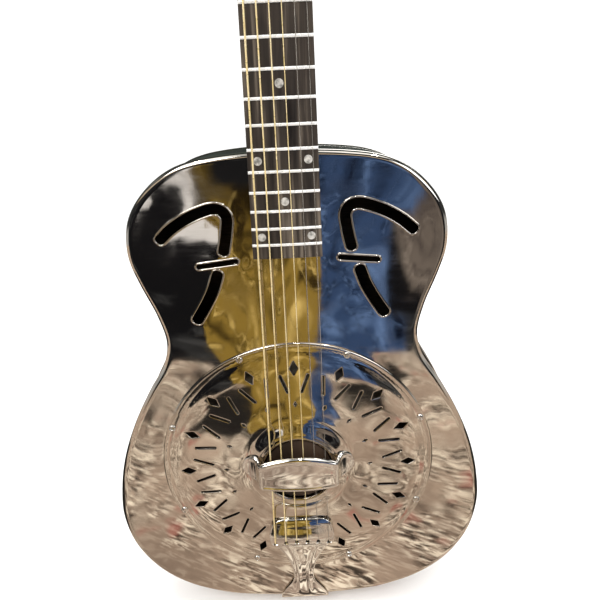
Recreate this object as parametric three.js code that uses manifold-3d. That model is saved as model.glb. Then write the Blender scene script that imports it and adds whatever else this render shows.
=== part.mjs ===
// A six-string resonator guitar with a sheet-metal body, a wooden neck and a biscuit-bridge cone.
//
// Lengths are millimetres. Inside `guitar` the origin is the centre of the cover plate on the
// front surface of the top plate: +X to the viewer's right, +Y into the body, +Z up the neck.
// The exported group shifts that so that the row origin is the flat end of the end pin.
// A height called h is measured out of the top plate, towards the viewer, so y = -h.

import * as THREE from "three";
import { mergeVertices } from "three/addons/utils/BufferGeometryUtils.js";
import Module from "manifold-3d";

const wasm = await Module();
wasm.setup();

// ---------------------------------------------------------------- driving dimensions

const GAP = 0.3; // air between parts that touch in the real instrument
const DEG = Math.PI / 180;

const SCALE = 648; // bridge saddle to nut
const BODY_DEPTH = 80;
const SHEET = 1.2; // body sheet metal
const BODY_TOP = 287.6; // z of the upper end of the body
const BODY_BOTTOM = -171; // z of the lower end of the body
const BODY_STEPS = 112; // corners of the sampled body outline

const WELL_R = 118.9; // outside of the sound well
const WELL_DEPTH = 27;
const COVER_R = 127.4;
const COVER_SCREW_R = 123.2; // pitch radius of the cover screws
const COVER_SCREWS = 8;
const SCREW_HOLE_R = 1.75;
const GRILLE_GROUPS = 16;
const OPENING_R = 33.3; // round opening over the bridge

const NECK_TILT = 1.0 * DEG; // the neck leans back from the top plate by this much
const CROWN_AT_JOINT = 8; // fret crowns above the top plate at the fourteenth fret
const JOINT_FRET_Z = SCALE * 2 ** (-14 / 12);
const FRET_CROWN = 1.2;
const BOARD_END = 205;
const BOARD_THICK = 6;
const BOARD_RADIUS = 305;
const NUT_HALF_WIDTH = 22.35;
const BOARD_TAPER = 0.01214; // half width gained per millimetre from the nut
const NUT_THICK = 4.4;
const HEAD_START = 653;
const HEAD_TILT = 14 * DEG + NECK_TILT;
const HEAD_THICK = 15;
const HEAD_DROP = 2; // head face behind the fingerboard surface

const STRING_RADII = [0.71, 0.57, 0.44, 0.33, 0.22, 0.2];
const STRING_AT_SADDLE = 17.2; // h of the string centres on the saddle
const STRING_AT_NUT = 2.35;
const HALF_SPREAD_NUT = 19;
const HALF_SPREAD_SADDLE = 25.2;
const HALF_SPREAD_TAIL = 26.6;

const PIN_Y = 40; // depth of the end pin, the middle of the rim
const PIN_TIP = -185; // z of the end pin's flat end

const POST_X = 22;
const POST_FIRST = 42; // distance of the first post up the head
const POST_PITCH = 36;
const WRAP_H = 5; // string height over the head face at a post
const CHANNEL_DEPTH = 9.4; // truss rod channel in the neck
const GEAR_TEETH = 14;
const GEAR_R = 7;
const WORM_R = 3;
const WORM_DEPTH = 20; // worm axis behind the head face
const WORM_OFFSET = GEAR_R + WORM_R + GAP; // worm axis below the post axis

const FINISH = {
  nickel: { color: 0xb9b2a8, roughness: 0.12, metalness: 1 },
  chrome: { color: 0xc6c2bb, roughness: 0.08, metalness: 1 },
  aluminium: { color: 0x8d8c88, roughness: 0.35, metalness: 1 },
  steel: { color: 0xa9a9a6, roughness: 0.3, metalness: 1 },
  bronze: { color: 0xc2a25a, roughness: 0.35, metalness: 1 },
  brass: { color: 0xb48b45, roughness: 0.35, metalness: 1 },
  rosewood: { color: 0x2c1c16, roughness: 0.5, metalness: 0 },
  mahogany: { color: 0x5a3020, roughness: 0.4, metalness: 0 },
  maple: { color: 0xd2ac76, roughness: 0.5, metalness: 0 },
  bone: { color: 0xe6dcc2, roughness: 0.45, metalness: 0 },
  ivoroid: { color: 0xe8dfc6, roughness: 0.35, metalness: 0 },
  black: { color: 0x141414, roughness: 0.35, metalness: 0 },
};

// ---------------------------------------------------------------- geometry helpers

const guitar = new THREE.Group();
guitar.position.set(0, -PIN_Y, -PIN_TIP);

const head = new THREE.Group(); // local frame of the tilted head: face at y = 0, z up the head
head.position.set(0, HEAD_DROP - boardTop(HEAD_START), HEAD_START);
head.rotation.x = -HEAD_TILT;
head.updateMatrix();
guitar.add(head);

function addPart(name, geometry, finish, parent = guitar) {
  const mesh = new THREE.Mesh(geometry, new THREE.MeshStandardMaterial(FINISH[finish]));
  mesh.name = name;
  parent.add(mesh);
  return mesh;
}

// Signed volume decides which way the triangles face, and a negative one is turned inside out.
function outward(geometry) {
  geometry.deleteAttribute("normal");
  geometry.deleteAttribute("uv");
  const merged = mergeVertices(geometry, 1e-4);
  const index = merged.index;
  const corner = [new THREE.Vector3(), new THREE.Vector3(), new THREE.Vector3()];
  let volume = 0;
  for (let i = 0; i < index.count; i += 3) {
    corner.forEach((v, k) => v.fromBufferAttribute(merged.attributes.position, index.getX(i + k)));
    volume += corner[0].dot(corner[1].clone().cross(corner[2]));
  }
  if (volume < 0) {
    for (let i = 0; i < index.count; i += 3) {
      const swap = index.getX(i);
      index.setX(i, index.getX(i + 1));
      index.setX(i + 1, swap);
    }
  }
  return merged;
}

function toSolid(geometry) {
  const clean = outward(geometry.clone());
  const mesh = new wasm.Mesh({
    numProp: 3,
    vertProperties: new Float32Array(clean.attributes.position.array),
    triVerts: new Uint32Array(clean.index.array),
  });
  return new wasm.Manifold(mesh);
}

function fromSolid(solid) {
  const mesh = solid.getMesh();
  const geometry = new THREE.BufferGeometry();
  geometry.setAttribute("position", new THREE.BufferAttribute(mesh.vertProperties, 3));
  geometry.setIndex(new THREE.BufferAttribute(mesh.triVerts, 1));
  return geometry;
}

function cut(geometry, tools) {
  let solid = toSolid(geometry);
  for (const tool of tools) solid = solid.subtract(toSolid(tool));
  return fromSolid(solid);
}

function join(geometry, others) {
  let solid = toSolid(geometry);
  for (const other of others) solid = solid.add(toSolid(other));
  return fromSolid(solid);
}

function box(x0, x1, y0, y1, z0, z1) {
  const geometry = new THREE.BoxGeometry(x1 - x0, y1 - y0, z1 - z0);
  return geometry.translate((x0 + x1) / 2, (y0 + y1) / 2, (z0 + z1) / 2);
}

function polygon(points) {
  return new THREE.Shape(points.map(([x, y]) => new THREE.Vector2(x, y)));
}

// A shape drawn in x and z becomes a slab from depth y0 to y1.
function slab(shape, y0, y1, curveSegments = 8) {
  const geometry = new THREE.ExtrudeGeometry(shape, { depth: y1 - y0, bevelEnabled: false, curveSegments });
  return geometry.rotateX(Math.PI / 2).translate(0, y1, 0);
}

// A shape drawn in x and h becomes a bar from z0 to z1.
function bar(shape, z0, z1) {
  const geometry = new THREE.ExtrudeGeometry(shape, { depth: z1 - z0, bevelEnabled: false });
  return geometry.scale(1, -1, 1).translate(0, 0, z0);
}

// Radius and height pairs are turned about the y axis; the profile closes on itself or on the axis.
function turnAboutY(profile, segments) {
  const closed = profile[0][0] > 0 ? [...profile, profile[0]] : profile;
  const points = closed.map(([r, h]) => new THREE.Vector2(r, -h));
  return outward(new THREE.LatheGeometry(points, segments));
}

function rodAlongY(radius, y0, y1, x, z, segments = 12) {
  const geometry = new THREE.CylinderGeometry(radius, radius, y1 - y0, segments);
  return geometry.translate(x, (y0 + y1) / 2, z);
}

// A section drawn in its own x and y is carried along a list of stations, each placed by a function.
function loft(section, stations, place) {
  const steps = stations.length - 1;
  const geometry = new THREE.ExtrudeGeometry(section, { depth: steps, steps, bevelEnabled: false });
  const position = geometry.attributes.position;
  for (let i = 0; i < position.count; i += 1) {
    const station = stations[Math.round(position.getZ(i))];
    const point = place(position.getX(i), position.getY(i), station);
    position.setXYZ(i, point.x, point.y, point.z);
  }
  return outward(geometry);
}

function circleSection(sides) {
  const corners = [];
  for (let i = 0; i < sides; i += 1) {
    const angle = (2 * Math.PI * i) / sides;
    corners.push([Math.cos(angle), Math.sin(angle)]);
  }
  return polygon(corners);
}

// A round rod between two stations of the neck's long axis, at height h0 over z0.
function rodAlongNeck(radius, z0, z1, heightAt, segments = 16) {
  const length = (z1 - z0) / Math.cos(NECK_TILT);
  const geometry = new THREE.CylinderGeometry(radius, radius, length, segments);
  const middle = (z0 + z1) / 2;
  geometry.rotateX(Math.PI / 2 - NECK_TILT);
  return geometry.translate(0, -heightAt(middle), middle);
}

// ---------------------------------------------------------------- heights and widths along the neck

function crownTop(z) {
  return CROWN_AT_JOINT + (JOINT_FRET_Z - z) * Math.tan(NECK_TILT);
}

function boardTop(z) {
  return crownTop(z) - FRET_CROWN;
}

function boardHalfWidth(z) {
  return NUT_HALF_WIDTH + BOARD_TAPER * (SCALE - z);
}

function crownDrop(x) {
  return (x * x) / (2 * BOARD_RADIUS);
}

function truss(z) {
  return boardTop(z) - BOARD_THICK - GAP - 4.2;
}

// ---------------------------------------------------------------- body

// Right half of the body outline from the neck joint down to the tail, as x and z. The top edge has
// a very slight crown, because the triangulation drops points that are exactly in line.
const BODY_HALF = [
  [0, 287.6], [24, 287.1], [50, 285.3], [70, 282.4], [86, 277.5], [100, 269.5], [113, 258],
  [122, 246.3], [127.6, 234], [130.2, 219], [129.6, 204], [123.8, 184], [113.5, 155.5], [109, 131],
  [114, 110.5], [130, 85], [148, 52.5], [163, 17], [172.5, -20], [175.8, -56], [168.4, -93],
  [149, -125], [121, -148], [80, -164], [37, -169.7], [0, -171],
];

function bodyOutline(inset) {
  const left = BODY_HALF.slice(1, -1).reverse().map(([x, z]) => [-x, z]);
  const all = [...BODY_HALF, ...left].map(([x, z]) => new THREE.Vector3(x, z, 0));
  const curve = new THREE.CatmullRomCurve3(all, true, "centripetal");
  const points = curve.getSpacedPoints(BODY_STEPS).slice(0, -1);
  return points.map((p, i) => {
    const before = points[(i + points.length - 1) % points.length];
    const after = points[(i + 1) % points.length];
    const along = after.clone().sub(before).normalize();
    return [p.x - inset * -along.y, p.y - inset * along.x];
  });
}

// A strip of constant width along a smooth centre line.
function ribbon(centre, width, steps = 12) {
  const curve = new THREE.SplineCurve(centre.map(([x, z]) => new THREE.Vector2(x, z)));
  const left = [];
  const right = [];
  for (let i = 0; i <= steps; i += 1) {
    const p = curve.getPoint(i / steps);
    const t = curve.getTangent(i / steps);
    left.push([p.x - (t.y * width) / 2, p.y + (t.x * width) / 2]);
    right.unshift([p.x + (t.y * width) / 2, p.y - (t.x * width) / 2]);
  }
  return polygon([...left, ...right]);
}

const SOUND_HOOK = [[102, 221.3], [88.5, 233.2], [70.6, 242.7], [57.5, 245.2], [49.6, 239.5], [49.7, 225.8], [53, 208.5]];
const SOUND_BAR = [[43.5, 203.6], [74, 200]];
const SOUND_TAIL = [[58.5, 194], [67, 172], [81, 151.5]];

function soundHoleCuts() {
  const pieces = [ribbon(SOUND_HOOK, 9.6, 16), ribbon(SOUND_BAR, 5.6, 1), ribbon(SOUND_TAIL, 10, 6)];
  const right = pieces.map((shape) => slab(shape, -1, SHEET + 1));
  const left = right.map((geometry) => geometry.clone().scale(-1, 1, 1));
  return [...right, ...left];
}

function coverScrewPlaces() {
  const places = [];
  for (let i = 0; i < COVER_SCREWS; i += 1) {
    const angle = ((i + 0.5) * 2 * Math.PI) / COVER_SCREWS;
    places.push([COVER_SCREW_R * Math.sin(angle), COVER_SCREW_R * Math.cos(angle)]);
  }
  return places;
}

function screwHoles(y0, y1) {
  return coverScrewPlaces().map(([x, z]) => rodAlongY(SCREW_HOLE_R, y0, y1, x, z, 8));
}

function buildBody() {
  const outline = polygon(bodyOutline(0));
  const wellHole = rodAlongY(WELL_R + 0.4, -1, SHEET + 1, 0, 0, 72);
  const top = cut(slab(outline, 0, SHEET), [wellHole, ...soundHoleCuts(), ...screwHoles(-1, SHEET + 1)]);
  addPart("top_plate", top, "nickel");

  const rimShape = polygon(bodyOutline(0));
  const inside = bodyOutline(SHEET).reverse();
  rimShape.holes.push(new THREE.Path(inside.map(([x, z]) => new THREE.Vector2(x, z))));
  const rim = slab(rimShape, SHEET + GAP, BODY_DEPTH - SHEET - GAP);
  const stickWindow = box(-17.5, 17.5, 29.5, 58.5, BODY_TOP - 6, BODY_TOP + 6);
  const pinHole = new THREE.CylinderGeometry(3.6, 3.6, 12, 16).rotateX(Math.PI / 2);
  pinHole.translate(0, PIN_Y, BODY_BOTTOM);
  addPart("side_rim", cut(rim, [stickWindow, pinHole]), "nickel");

  addPart("back_plate", slab(outline, BODY_DEPTH - SHEET, BODY_DEPTH), "nickel");
}

// ---------------------------------------------------------------- resonator

function buildResonator() {
  const ledge = WELL_DEPTH - 1.7;
  const wellProfile = [
    [WELL_R, -0.2], [WELL_R, -WELL_DEPTH], [105, -WELL_DEPTH], [105, -ledge],
    [WELL_R - 1.1, -ledge], [WELL_R - 1.1, -0.2],
  ];
  addPart("sound_well", turnAboutY(wellProfile, 56), "nickel");

  const coneProfile = [
    [1.9, 2], [30, 2], [33, 1.2], [70, -10.8], [108, -23.2], [112, -24], [117.2, -24],
    [117.2, -24.9], [111.8, -24.9], [107.6, -24.1], [69.6, -11.8], [32.5, 0.2], [29.8, 1.1], [1.9, 1.1],
  ];
  addPart("resonator_cone", turnAboutY(coneProfile, 36), "aluminium");

  const biscuitProfile = [[1.9, 2.3], [31.5, 2.3], [31.5, 7.2], [31, 7.7], [1.9, 7.7]];
  addPart("bridge_biscuit", turnAboutY(biscuitProfile, 28), "maple");

  const screwProfile = [[0, 7.4], [1.5, 7.4], [1.5, 0.8], [3.6, 0.8], [3.6, -1], [2.6, -1.8], [0, -1.8]];
  addPart("biscuit_screw", turnAboutY(screwProfile, 12), "brass");

  const crest = STRING_AT_SADDLE - STRING_RADII[0] - GAP;
  const half = 31;
  const saddleTop = [];
  for (let i = 8; i >= 0; i -= 1) {
    const x = half * (i / 4 - 1);
    saddleTop.push([x, crest - crownDrop(x)]);
  }
  addPart("bridge_saddle", outward(bar(polygon([[-half, 8], [half, 8], ...saddleTop]), -2, 2)), "maple");
}

// One repeat of the grille: a long diamond, two splayed slots and a small diamond nearer the middle.
function grilleCuts() {
  const y0 = -12;
  const y1 = 2;
  const cuts = [];
  for (let i = 0; i < GRILLE_GROUPS; i += 1) {
    const diamond = polygon([[0, 111.5], [4, 104], [0, 96.5], [-4, 104]]);
    const small = polygon([[0, 71], [1.5, 68], [0, 65], [-1.5, 68]]);
    const slots = [-1, 1].map((side) => ribbon([[side * 6, 80], [side * 12.5, 97]], 2.5, 1));
    for (const shape of [diamond, small, ...slots]) {
      cuts.push(slab(shape, y0, y1).rotateY((i * 2 * Math.PI) / GRILLE_GROUPS));
    }
  }
  return cuts;
}

function buildCover() {
  const profile = [
    [COVER_R, 0.3], [COVER_R, 1.4], [118.6, 1.4], [114.6, 3], [80, 3.6], [52, 3.9], [47, 5.2],
    [40.2, 8.6], [37, 9.6], [34.2, 9.6], [OPENING_R, 8.9], [OPENING_R, 7.2], [34.3, 7.2],
    [34.3, 8.4], [36.8, 8.5], [39.6, 7.6], [46.2, 4.2], [51.6, 2.8], [80, 2.5], [114.2, 1.9],
    [118, 0.3],
  ];
  const dish = turnAboutY(profile, 44);
  addPart("coverplate", cut(dish, [...grilleCuts(), ...screwHoles(-4, 2)]), "nickel");

  const screw = [[0, 3.4], [1.6, 3.2], [3.1, 2.2], [3.3, 1.7], [1.45, 1.7], [1.45, -7.4], [0, -9]];
  coverScrewPlaces().forEach(([x, z], i) => {
    addPart(`coverplate_screw_${i + 1}`, turnAboutY(screw, 8), "nickel").position.set(x, 0, z);
  });

  // The hand rest is a strap that stands over the bridge on two legs with turned-out feet.
  const outer = [[52.5, 5.6], [47.5, 6.9], [41, 10.2], [38.4, 12.4], [37.4, 18], [36, 20.3], [33.5, 21.4]];
  const inner = [[33.2, 20.2], [35, 19.3], [36.1, 17.5], [37.1, 11.4], [40.6, 8.9], [47.2, 5.6], [52.5, 4.4]];
  const mirrored = (points) => points.slice().reverse().map(([x, h]) => [-x, h]);
  const strap = polygon([...outer, ...mirrored(outer), ...mirrored(inner), ...inner]);
  const plan = new THREE.Shape();
  plan.moveTo(-37.8, 14.6);
  plan.quadraticCurveTo(0, 29.4, 37.8, 14.6);
  plan.lineTo(40, 17.5);
  plan.quadraticCurveTo(53, 16, 53, 3.5);
  plan.quadraticCurveTo(53, -8.5, 40, -9.5);
  plan.lineTo(37.8, -11);
  plan.quadraticCurveTo(0, -19, -37.8, -11);
  plan.lineTo(-40, -9.5);
  plan.quadraticCurveTo(-53, -8.5, -53, 3.5);
  plan.quadraticCurveTo(-53, 16, -40, 17.5);
  plan.closePath();
  const rest = toSolid(bar(strap, -25, 32)).intersect(toSolid(slab(plan, -30, 0, 8)));
  addPart("hand_rest", fromSolid(rest), "chrome");
}

// ---------------------------------------------------------------- neck

const NECK_STATIONS = [
  { z: BODY_TOP + 0.9, deep: 64 }, { z: 291.5, deep: 57 }, { z: 295.5, deep: 47 }, { z: 301, deep: 37 },
  { z: 308.5, deep: 28.5 }, { z: 319, deep: 22 }, { z: 332, deep: 18.8 }, { z: 346, deep: 17.7 },
  { z: 480, deep: 16.4 }, { z: 635, deep: 15.2 }, { z: HEAD_START, deep: 15.2 }, { z: 660, deep: 12.6 },
];

const HEAD_HALF = [
  [22.4, 0], [22.9, 8], [26.5, 21], [33, 31], [36.4, 40], [36.2, 70], [36.6, 112], [38.2, 140], [38.8, 152],
];

function neckSection() {
  const corners = [[1, 0], [-1, 0]];
  for (let i = 1; i < 14; i += 1) {
    const angle = Math.PI * (1 - i / 14);
    const x = Math.sign(Math.cos(angle)) * Math.abs(Math.cos(angle)) ** 0.85;
    corners.push([x, Math.sin(angle) ** 0.85]);
  }
  return polygon(corners);
}

function headShape() {
  const right = HEAD_HALF.map(([x, z]) => [x, z]);
  const left = right.slice().reverse().map(([x, z]) => [-x, z]);
  const crest = [[22, 157.5], [8, 154.5], [0, 153.6], [-8, 154.5], [-22, 157.5]];
  return polygon([...right, ...crest, ...left]);
}

function tunerPlaces() {
  const places = [];
  for (let i = 0; i < 6; i += 1) {
    const side = i < 3 ? -1 : 1;
    const row = i < 3 ? i : 5 - i;
    places.push({ number: i + 1, side, x: side * POST_X, z: POST_FIRST + row * POST_PITCH });
  }
  return places;
}

function buildNeck() {
  const shaft = loft(neckSection(), NECK_STATIONS, (x, y, station) => {
    const front = boardTop(station.z) - BOARD_THICK - GAP;
    const half = boardHalfWidth(station.z) - 0.3;
    return new THREE.Vector3(x * half, y * station.deep - front, station.z);
  });
  const headBlock = slab(headShape(), 0, HEAD_THICK).applyMatrix4(head.matrix);
  const posts = tunerPlaces().map(({ x, z }) => rodAlongY(3.35, -2, HEAD_THICK + 2, x, z, 14));
  const postHoles = posts.map((geometry) => geometry.applyMatrix4(head.matrix));
  const channelStart = 300;
  const channel = loft(polygon([[-3.3, 0], [3.3, 0], [3.3, 1], [-3.3, 1]]), [channelStart, 652], (x, y, z) => {
    return new THREE.Vector3(x, y * CHANNEL_DEPTH + BOARD_THICK - boardTop(z) - 0.5, z);
  });
  const passage = rodAlongNeck(3.3, 645, 658, truss);
  const pocket = rodAlongNeck(5, 656, 700, truss, 20);
  const nutSlot = box(-40, 40, -20, BOARD_THICK + GAP - boardTop(HEAD_START), SCALE - 1, HEAD_START - 0.01);
  const whole = cut(join(shaft, [headBlock]), [nutSlot, channel, passage, pocket, ...postHoles]);
  addPart("neck", whole, "mahogany");

  const stick = box(-17, 17, 30, 58, BODY_BOTTOM + SHEET + 0.5, BODY_TOP);
  const pinBore = new THREE.CylinderGeometry(3.6, 3.6, 40, 16).rotateX(Math.PI / 2);
  addPart("neck_stick", cut(stick, [pinBore.translate(0, PIN_Y, BODY_BOTTOM)]), "maple");

  addPart("truss_rod", outward(rodAlongNeck(2.5, channelStart + 2, 665, truss, 12)), "steel");
  const hex = circleSection(6);
  hex.holes.push(new THREE.Path(circleSection(12).getPoints().map((p) => p.multiplyScalar(0.7))));
  const trussNut = new THREE.ExtrudeGeometry(hex, { depth: 10, bevelEnabled: false });
  trussNut.scale(4, 4, 1).rotateX(-NECK_TILT).translate(0, -truss(657), 657);
  addPart("truss_rod_nut", outward(trussNut), "brass");

  const cover = new THREE.Shape();
  cover.moveTo(-9, 3);
  cover.lineTo(9, 3);
  cover.quadraticCurveTo(11.5, 14, 8.5, 24);
  cover.quadraticCurveTo(6, 33, 0, 38);
  cover.quadraticCurveTo(-6, 33, -8.5, 24);
  cover.quadraticCurveTo(-11.5, 14, -9, 3);
  addPart("truss_rod_cover", outward(slab(cover, -1.9, -GAP, 5)), "black", head);
}

function buildFingerboard() {
  const columns = 8;
  const corners = [[-1, 0], [1, 0]];
  for (let i = columns; i >= 0; i -= 1) corners.push([(2 * i) / columns - 1, 1]);
  const stations = [
    { z: BOARD_END, under: 0.35 }, { z: BODY_TOP + 0.4, under: 0.35 },
    { z: BODY_TOP + 1.2, under: boardTop(BODY_TOP + 1.2) - BOARD_THICK },
    { z: SCALE, under: boardTop(SCALE) - BOARD_THICK },
  ];
  const board = loft(polygon(corners), stations, (x, y, station) => {
    const across = x * boardHalfWidth(station.z);
    const h = y > 0.5 ? boardTop(station.z) - crownDrop(across) : station.under;
    return new THREE.Vector3(across, -h, station.z);
  });
  addPart("fingerboard", board, "rosewood");

  const foot = boardTop(HEAD_START) - BOARD_THICK;
  const crest = STRING_AT_NUT - STRING_RADII[0] - GAP;
  const top = [];
  for (let i = 8; i >= 0; i -= 1) {
    const x = NUT_HALF_WIDTH * (i / 4 - 1);
    top.push([x, crest - crownDrop(x)]);
  }
  const block = polygon([[-NUT_HALF_WIDTH, foot], [NUT_HALF_WIDTH, foot], ...top]);
  addPart("nut", outward(bar(block, SCALE + GAP, SCALE + GAP + NUT_THICK)), "bone");
}

// ---------------------------------------------------------------- tailpiece and end pin

// The tailpiece is one strip of sheet that curls over at the string end, narrows to a waist and
// folds down over the rim to the end pin: centre line as z and h, with the half width.
const TAIL_LINE = [
  { z: -59.6, h: 5.8, half: 24.5 }, { z: -61.4, h: 8.4, half: 28.2 }, { z: -65.3, h: 10.3, half: 30.6 },
  { z: -70.4, h: 10.9, half: 31.4 }, { z: -76, h: 10.3, half: 31.4 }, { z: -81, h: 8.8, half: 31 },
  { z: -86, h: 7.1, half: 29.6 }, { z: -95, h: 5.8, half: 22.2 }, { z: -105, h: 5, half: 16.6 },
  { z: -116, h: 4.4, half: 13.2 }, { z: -128, h: 3.9, half: 11.7 }, { z: -138, h: 3.5, half: 12 },
  { z: -148, h: 2.9, half: 15.4 }, { z: -158, h: 2.3, half: 20.6 }, { z: -167, h: 2, half: 24 },
  { z: -171.4, h: 0.9, half: 24.8 }, { z: -172.5, h: -2.6, half: 25 }, { z: -172.5, h: -16, half: 23 },
  { z: -172.5, h: -30, half: 15.5 }, { z: -172.5, h: -42, half: 9.5 }, { z: -172.5, h: -50, half: 5 },
];
const TAIL_THICK = 1.4;

function stringX(index, halfSpread) {
  return halfSpread * (index / 2.5 - 1);
}

function buildTail() {
  const last = TAIL_LINE.length - 1;
  const stations = TAIL_LINE.map((point, i) => {
    const before = TAIL_LINE[Math.max(i - 1, 0)];
    const after = TAIL_LINE[Math.min(i + 1, last)];
    const across = new THREE.Vector2(after.z - before.z, after.h - before.h).normalize();
    return { ...point, normal: new THREE.Vector2(-across.y, across.x) };
  });
  const strip = loft(polygon([[-1, -0.5], [1, -0.5], [1, 0.5], [-1, 0.5]]), stations, (x, y, s) => {
    const z = s.z + y * TAIL_THICK * s.normal.x;
    const h = s.h + y * TAIL_THICK * s.normal.y;
    return new THREE.Vector3(x * s.half, -h, z);
  });
  const slots = STRING_RADII.map((_, i) => {
    const x = stringX(i, HALF_SPREAD_TAIL);
    return slab(polygon([[x - 2.3, -85.6], [x + 2.3, -85.6], [x + 0.9, -80.4], [x - 0.9, -80.4]]), -14, -4);
  });
  const hole = new THREE.CylinderGeometry(3.6, 3.6, 10, 16).rotateX(Math.PI / 2);
  hole.translate(0, PIN_Y, -172.5);
  addPart("tailpiece", cut(strip, [...slots, hole]), "chrome");

  const pin = [[0, -152], [3.2, -152], [3.2, -173.6], [5.4, -173.6], [4.4, -178], [7.5, -182.4],
    [7.5, -184.2], [6.7, PIN_TIP], [0, PIN_TIP]];
  const button = turnAboutY(pin.map(([r, z]) => [r, -z]), 20).rotateX(Math.PI / 2);
  addPart("end_pin", outward(button), "nickel").position.set(0, PIN_Y, 0);
}

// ---------------------------------------------------------------- strings and tuners

function buildStrings() {
  const section = circleSection(8);
  tunerPlaces().forEach(({ side, x: postX, z: postZ }, i) => {
    const radius = STRING_RADII[i];
    const tailX = stringX(i, HALF_SPREAD_TAIL);
    const saddleX = stringX(i, HALF_SPREAD_SADDLE);
    const nutX = stringX(i, HALF_SPREAD_NUT);
    const lift = radius + GAP;
    const saddleH = STRING_AT_SADDLE - STRING_RADII[0] + radius - crownDrop(saddleX);
    const nutH = STRING_AT_NUT - STRING_RADII[0] + radius - crownDrop(nutX);
    const wrap = new THREE.Vector3(postX - side * (3.7 + lift), -WRAP_H, postZ).applyMatrix4(head.matrix);
    const path = [
      new THREE.Vector3(tailX, -8.9, -83.6), new THREE.Vector3(tailX, -10.6 - lift, -79.6),
      new THREE.Vector3(tailX, -11.5 - lift, -72.5), new THREE.Vector3(saddleX, -saddleH, 0),
      new THREE.Vector3(nutX, -nutH, SCALE + 2 * GAP + NUT_THICK), wrap,
    ];
    const wire = loft(section, path, (x, y, point) => {
      return new THREE.Vector3(point.x + x * radius, point.y + y * radius, point.z);
    });
    addPart(`string_${i + 1}`, wire, i < 4 ? "bronze" : "steel");
  });
}

function gearGeometry() {
  const corners = [];
  for (let i = 0; i < GEAR_TEETH; i += 1) {
    for (const [part, radius] of [[-0.3, 5.7], [-0.14, GEAR_R], [0.14, GEAR_R], [0.3, 5.7]]) {
      const angle = ((i + part) * 2 * Math.PI) / GEAR_TEETH;
      corners.push([radius * Math.sin(angle), radius * Math.cos(angle)]);
    }
  }
  const shape = polygon(corners);
  const bore = new THREE.Path(circleSection(12).getPoints().map((p) => p.multiplyScalar(2.55)));
  shape.holes.push(bore);
  return outward(slab(shape, WORM_DEPTH - 2.2, WORM_DEPTH + 2.2));
}

// Radius against distance from the middle line, turned about the x axis.
function turnAboutX(profile, segments) {
  const geometry = turnAboutY(profile.map(([r, x]) => [r, -x]), segments);
  return outward(geometry.rotateZ(-Math.PI / 2));
}

function buildTuners() {
  const postProfile = [
    [0, -24], [3.4, -24], [3.4, -22.5], [2.25, -22.5], [2.25, -16.8], [3.05, -16.8], [3.05, 2.8],
    [2.5, 3.2], [3.7, 3.6], [3.7, 6.6], [2.5, 7], [3.05, 8], [3.05, 12.4], [2.4, 13.2], [0, 13.2],
  ];
  const wormProfile = [
    [0, 13.4], [1.8, 13.4], [1.8, 17], [WORM_R, 18], [2.2, 19.3], [WORM_R, 20.6], [2.2, 21.9],
    [WORM_R, 23.2], [2.2, 24.4], [WORM_R, 25.4], [1.8, 26.4], [1.8, 43], [0, 43],
  ];
  const buttonProfile = [[0, 43.4], [3.2, 43.4], [4.4, 45], [7.2, 47.4], [8.2, 51], [7.4, 55], [4.4, 57.4], [0, 58]];
  for (const { number, side, x, z } of tunerPlaces()) {
    const wormZ = z - WORM_OFFSET;
    addPart(`string_post_${number}`, turnAboutY(postProfile, 10), "nickel", head).position.set(x, 0, z);
    addPart(`string_gear_${number}`, gearGeometry(), "brass", head).position.set(x, 0, z);
    const worm = turnAboutX(wormProfile, 10).scale(side, 1, 1);
    addPart(`tuner_worm_${number}`, outward(worm), "nickel", head).position.set(0, WORM_DEPTH, wormZ);
    const button = turnAboutX(buttonProfile, 12).scale(side, 0.55, 1);
    addPart(`tuner_button_${number}`, outward(button), "ivoroid", head).position.set(0, WORM_DEPTH, wormZ);
  }
  for (const [name, side] of [["tuner_plate_left", -1], ["tuner_plate_right", 1]]) {
    addPart(name, tunerPlate(side), "nickel", head);
  }
}

function tunerPlate(side) {
  const y0 = HEAD_THICK + GAP;
  const y1 = y0 + 1.2;
  const inner = Math.min(side * 13.6, side * 33);
  const outer = Math.max(side * 13.6, side * 33);
  const plate = box(inner, outer, y0, y1, POST_FIRST - 16, POST_FIRST + 2 * POST_PITCH + 10);
  const lugs = [];
  const holes = [];
  for (const { side: where, x, z } of tunerPlaces()) {
    if (where !== side) continue;
    const wormZ = z - WORM_OFFSET;
    for (const start of [14.2, 27.2]) {
      const a = side * start;
      const b = side * (start + 2);
      lugs.push(box(Math.min(a, b), Math.max(a, b), y1 - 0.2, WORM_DEPTH + 3.2, wormZ - 3.4, wormZ + 3.4));
    }
    const shaft = new THREE.CylinderGeometry(2.1, 2.1, 60, 12).rotateZ(Math.PI / 2);
    holes.push(shaft.translate(side * 25, WORM_DEPTH, wormZ));
    holes.push(rodAlongY(3.4, y0 - 2, y1 + 0.4, x, z, 14));
  }
  return cut(join(plate, lugs), holes);
}

buildBody();
buildResonator();
buildCover();
buildNeck();
buildFingerboard();
buildTail();
buildStrings();
buildTuners();

export default guitar;
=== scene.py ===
"""Looks for a six-string resonator guitar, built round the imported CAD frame.

Shapes are made in millimetres as (x, h, z): x to the viewer's right of the cover plate's centre,
h out of the top plate towards the viewer, z up the neck. to_row() turns them into row metres.
"""

import math

import bmesh
import bpy
import numpy as np
from mathutils import Matrix, Vector
from mathutils.geometry import delaunay_2d_cdt
from mathutils.kdtree import KDTree


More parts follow.
